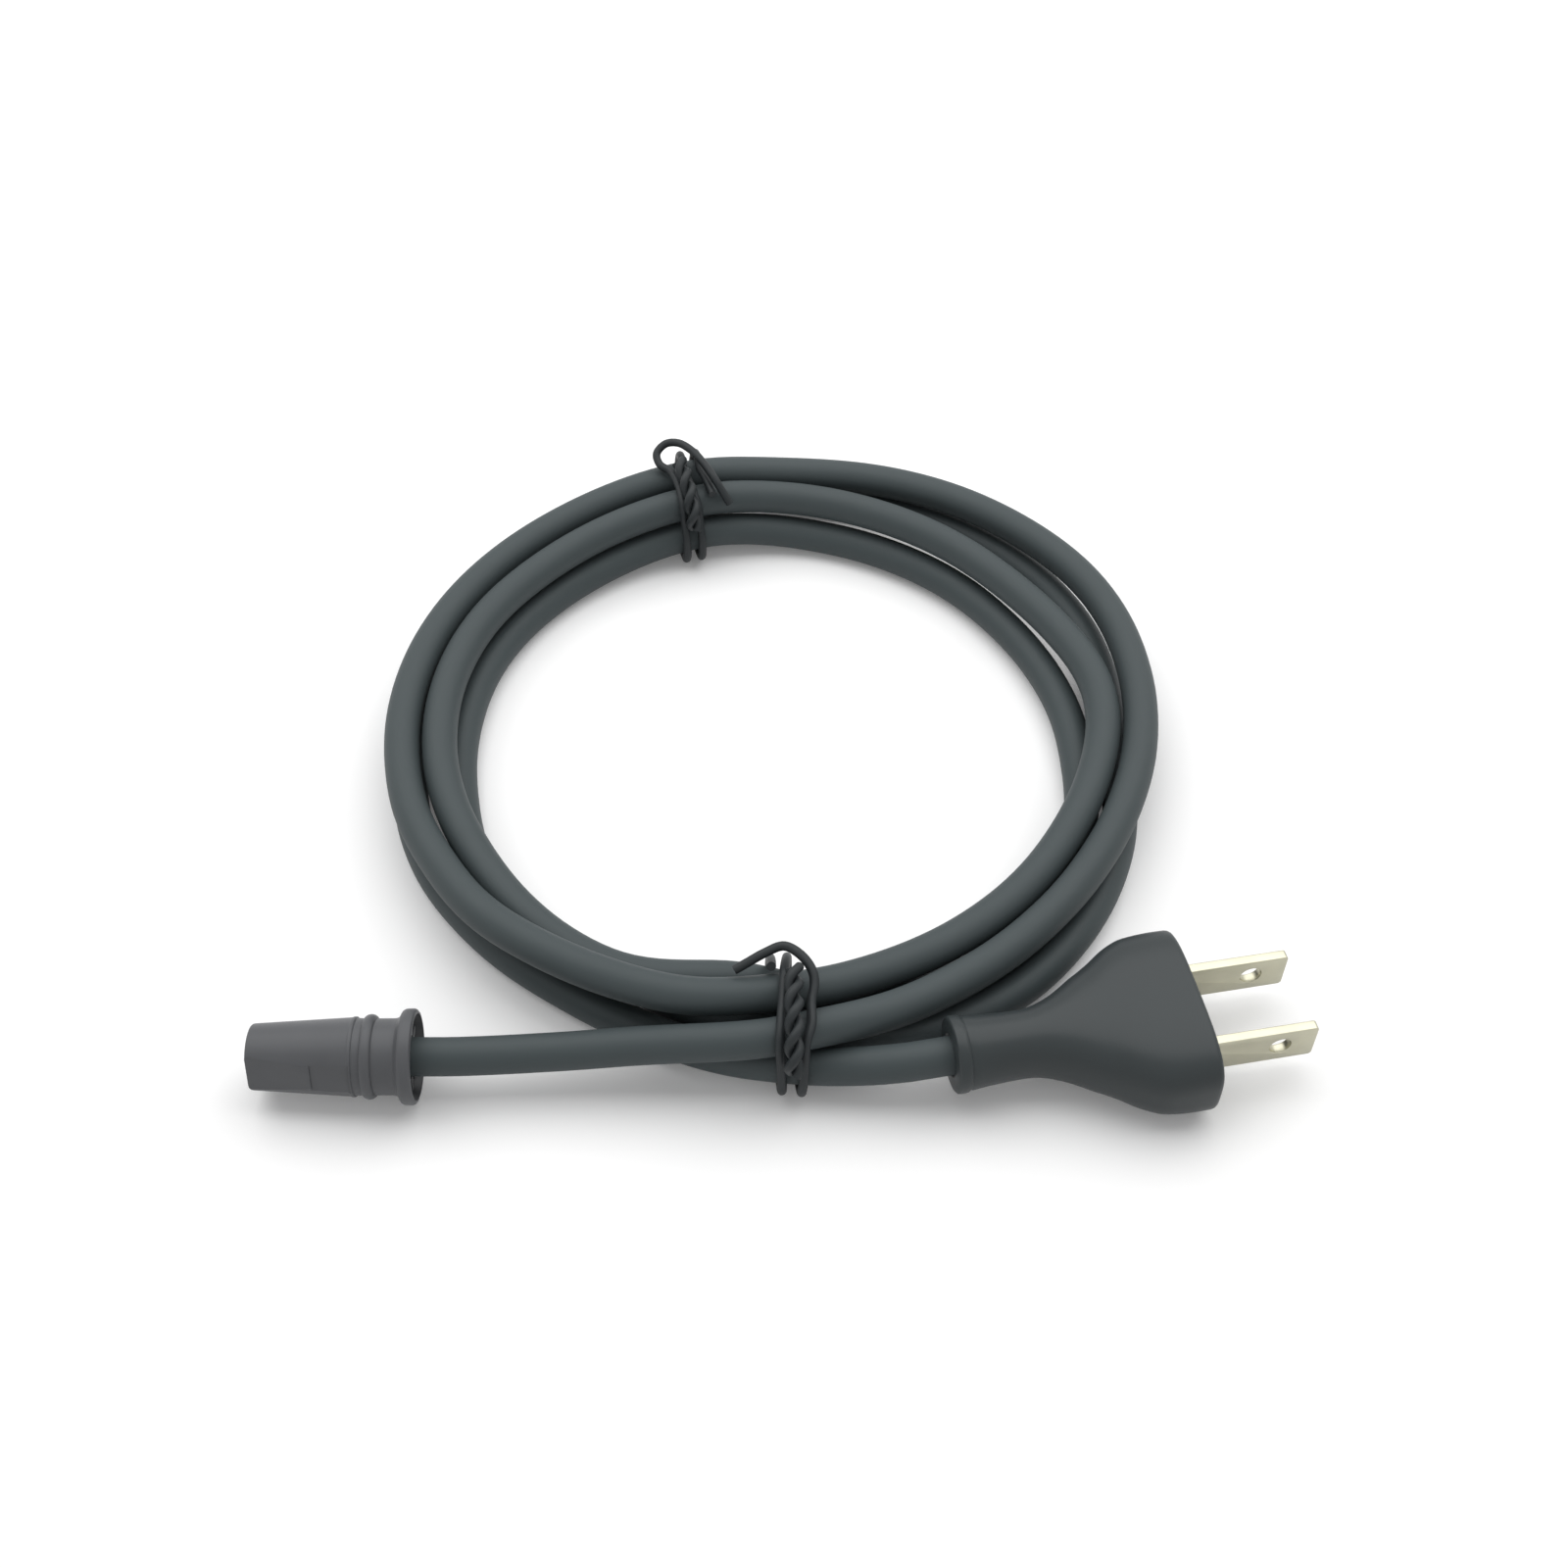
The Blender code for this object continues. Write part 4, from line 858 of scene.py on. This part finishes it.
REAR_TIE = (
    (46.8, 12.2, -4), (47.9, 13.9, -3.1), (49.5, 15.7, -2.1), (52.8, 17, -0.8), (56.1, 17.5, 0.6),
    (58.7, 17.5, 2.5), (59.8, 16.8, 4.6), (58.8, 15.8, 6.4), (56.9, 14.9, 6.3), (54.9, 14.6, 4.8),
    (52.1, 14.4, 4.2), (47.8, 13.5, 4.2), (46.5, 11.9, 4.3), (46, 9.6, 4.3), (44.9, 7.4, 4.3),
    (44.6, 4.8, 4.3), (44.9, 3.2, 4.3), (45.9, 1.8, 4.3), (47.3, 1, 4.2), (48.9, 0.85, 4.2),
    (57, 0.9, 3.4), (58.5, 1.2, 3.1), (59.9, 2.2, 2.9), (60.9, 4.8, 2.6), (61, 10.8, 2.2),
    (59.8, 13.8, 2.1), (57.3, 14.8, 2.2), (54.6, 14.6, 2.4), (49.9, 14.4, 2), (48.5, 14, 1.9),
    (47, 12.6, 1.6), (46.2, 9.6, 1.6), (44.9, 7.4, 1.6), (44.6, 4.8, 1.6), (44.9, 3.2, 1.6),
    (45.9, 1.8, 1.6), (47.3, 1, 1.5), (48.9, 0.85, 1.5), (57, 0.9, 0.9), (58.5, 1.2, 0.7),
    (59.9, 2.2, 0.5), (60.9, 4.8, 0.2), (61, 10.8, -0.4), (59.8, 13.8, -0.6), (57.3, 14.8, -0.6),
    (54.7, 14.6, -0.4), (51.5, 14.5, -0.8), (48.1, 13.9, -1.2),
)

# Where each tie's two ends are wound round each other, over its turns
FRONT_TWIST = (
    (57.2, 16.8, 0.0), (60.5, 16.9, -0.3), (64.2, 16.8, -0.5), (67.6, 15.4, -0.7), (70.1, 12.9, -0.9),
    (70.9, 10.4, -1.0),
)
REAR_TWIST = ((54.5, 16.9, 3.2), (51.0, 16.7, 3.1), (47.6, 15.5, 3.0), (45.1, 13.2, 2.95), (44.2, 10.0, 2.95))


def tie_line(angle, stations):
    """A tie's centre line at one angle of the coil, over the floor."""
    points = [ring_point(angle, *spot) * MM for spot in stations]
    line = evenly(smooth_curve(points, pieces=12), TIE_STEP)
    line[:, 2] = np.maximum(line[:, 2], TIE_DIA / 2)
    return line - np.array(MIDDLE)


def make_tie(name, angle, stations):
    mesh = tube_mesh(name, tie_line(angle, stations), TIE_DIA / 2, TIE_SIDES)
    return piece(name, mesh, TIE_PVC, crease=TUBE_CREASE)


def make_twist(name, angle, stations):
    """Two wires wound round each other along the stations."""
    line = tie_line(angle, stations)
    between = TIE_DIA / 2 + 0.02 * MM
    bm = bmesh.new()
    for start in TWIST_STARTS:
        wire = tube_mesh("wire", wound(line, between, TWIST_PITCH, start), TIE_DIA / 2, TIE_SIDES)
        bm.from_mesh(wire)
        bpy.data.meshes.remove(wire)
    return piece(name, finished(bm, name), TIE_PVC, crease=TUBE_CREASE)


# Table, light and camera


def shows_white(tree):
    """1 on the rays that show the white studio: from the camera, or by way of gloss or glass."""
    path = tree.nodes.new("ShaderNodeLightPath")
    seen = maths(tree, "MAXIMUM", path.outputs["Is Camera Ray"], path.outputs["Is Glossy Ray"])
    return maths(tree, "MAXIMUM", seen, path.outputs["Is Transmission Ray"])


def make_table():
    """A white table that keeps the shadows near the object, and is white as paper further away."""
    bm = bmesh.new()
    bmesh.ops.create_grid(bm, x_segments=1, y_segments=1, size=TABLE_HALF_SIZE)
    mesh = finished(bm, "table")
    made, tree, shader = new_material("white table")
    shader.inputs["Base Color"].default_value = (TABLE_TONE, TABLE_TONE, TABLE_TONE, 1.0)
    shader.inputs["Roughness"].default_value = 0.9
    shader.inputs["Specular IOR Level"].default_value = 0.1
    shader.inputs["Emission Color"].default_value = (1.0, 1.0, 1.0, 1.0)
    where = tree.nodes.new("ShaderNodeTexCoord")
    away = tree.nodes.new("ShaderNodeVectorMath")
    away.operation = "LENGTH"
    tree.links.new(where.outputs["Object"], away.inputs[0])
    level = tree.nodes.new("ShaderNodeMapRange")
    for label, value in (("From Min", 0.25), ("From Max", 1.3), ("To Min", 0.10), ("To Max", 0.75)):
        level.inputs[label].default_value = value
    tree.links.new(away.outputs["Value"], level.inputs["Value"])
    lift = maths(tree, "MULTIPLY", shows_white(tree), level.outputs["Result"])
    tree.links.new(lift, shader.inputs["Emission Strength"])
    mesh.materials.append(made)
    table = bpy.data.objects.new("table", mesh)
    table.location.z = -TABLE_DROP
    bpy.context.scene.collection.objects.link(table)


def make_softbox():
    """A wide softbox behind and above the coil, turned to the middle of the frame."""
    light = bpy.data.lights.new("rear softbox", "AREA")
    light.shape = "RECTANGLE"
    light.size, light.size_y = SOFTBOX_SIZE
    light.energy = SOFTBOX_POWER
    obj = bpy.data.objects.new("rear softbox", light)
    obj.location = SOFTBOX_AT
    obj.rotation_euler = (-Vector(SOFTBOX_AT)).to_track_quat("-Z", "Y").to_euler()
    bpy.context.scene.collection.objects.link(obj)


def make_world():
    world = bpy.data.worlds.new("white studio")
    bpy.context.scene.world = world
    world.use_nodes = True
    tree = world.node_tree
    back = tree.nodes["Background"]
    back.inputs["Color"].default_value = (1.0, 1.0, 1.0, 1.0)
    level = maths(tree, "ADD", maths(tree, "MULTIPLY", shows_white(tree), 1.0 - STUDIO_LEVEL), STUDIO_LEVEL)
    tree.links.new(level, back.inputs["Strength"])


def make_camera():
    camera = bpy.data.cameras.new("camera")
    camera.lens = CAMERA_LENS
    camera.sensor_width = 36.0
    camera.clip_start = 0.01
    obj = bpy.data.objects.new("camera", camera)
    obj.location = CAMERA_AT - MIDDLE
    obj.rotation_euler = (CAMERA_TILT, 0.0, 0.0)
    bpy.context.scene.collection.objects.link(obj)
    bpy.context.scene.camera = obj
    bpy.context.scene.view_settings.view_transform = "Standard"


def stands_for(obj, nodes):
    if nodes:
        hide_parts(*nodes)
    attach(obj, "root")


def main():
    make_camera()
    cord, route = make_cord()
    plug_body = make_plug_body()
    blades = [make_blade("line", BLADE_SPACING / 2), make_blade("neutral", -BLADE_SPACING / 2)]
    connector_body = make_connector_body()
    ribs = make_cup_ribs()
    ties = [
        make_tie("front_tie", FRONT_TIE_ANGLE, FRONT_TIE),
        make_tie("rear_tie", REAR_TIE_ANGLE, REAR_TIE),
    ]
    twists = [
        make_twist("front_tie_twist", FRONT_TIE_ANGLE, FRONT_TWIST),
        make_twist("rear_tie_twist", REAR_TIE_ANGLE, REAR_TWIST),
    ]

    stands_for(cord, ["cord"])
    stands_for(plug_body, ["plug_housing"])
    for blade, pole in zip(blades, ("line", "neutral")):
        stands_for(blade, [f"plug_blade_{pole}"])
    stands_for(connector_body, ["connector_housing"])
    stands_for(ribs, [])
    for tie, node in zip(ties, ("tie_front", "tie_rear")):
        stands_for(tie, [node])
    for twist in twists:
        stands_for(twist, [])

    kept = {"plug_bridge": BRIDGE_PLASTIC, "connector_insert": INSERT_PLASTIC}
    for pole, skin in (("line", BROWN_PVC), ("neutral", BLUE_PVC)):
        for end in ("plug", "connector"):
            kept[f"{end}_core_{pole}"] = skin
            kept[f"{end}_strands_{pole}"] = COPPER
        kept[f"connector_contact_{pole}"] = BRASS
    for node, finish in kept.items():
        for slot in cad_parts[node].material_slots:
            slot.material = finish

    make_table()
    make_softbox()
    make_world()


main()
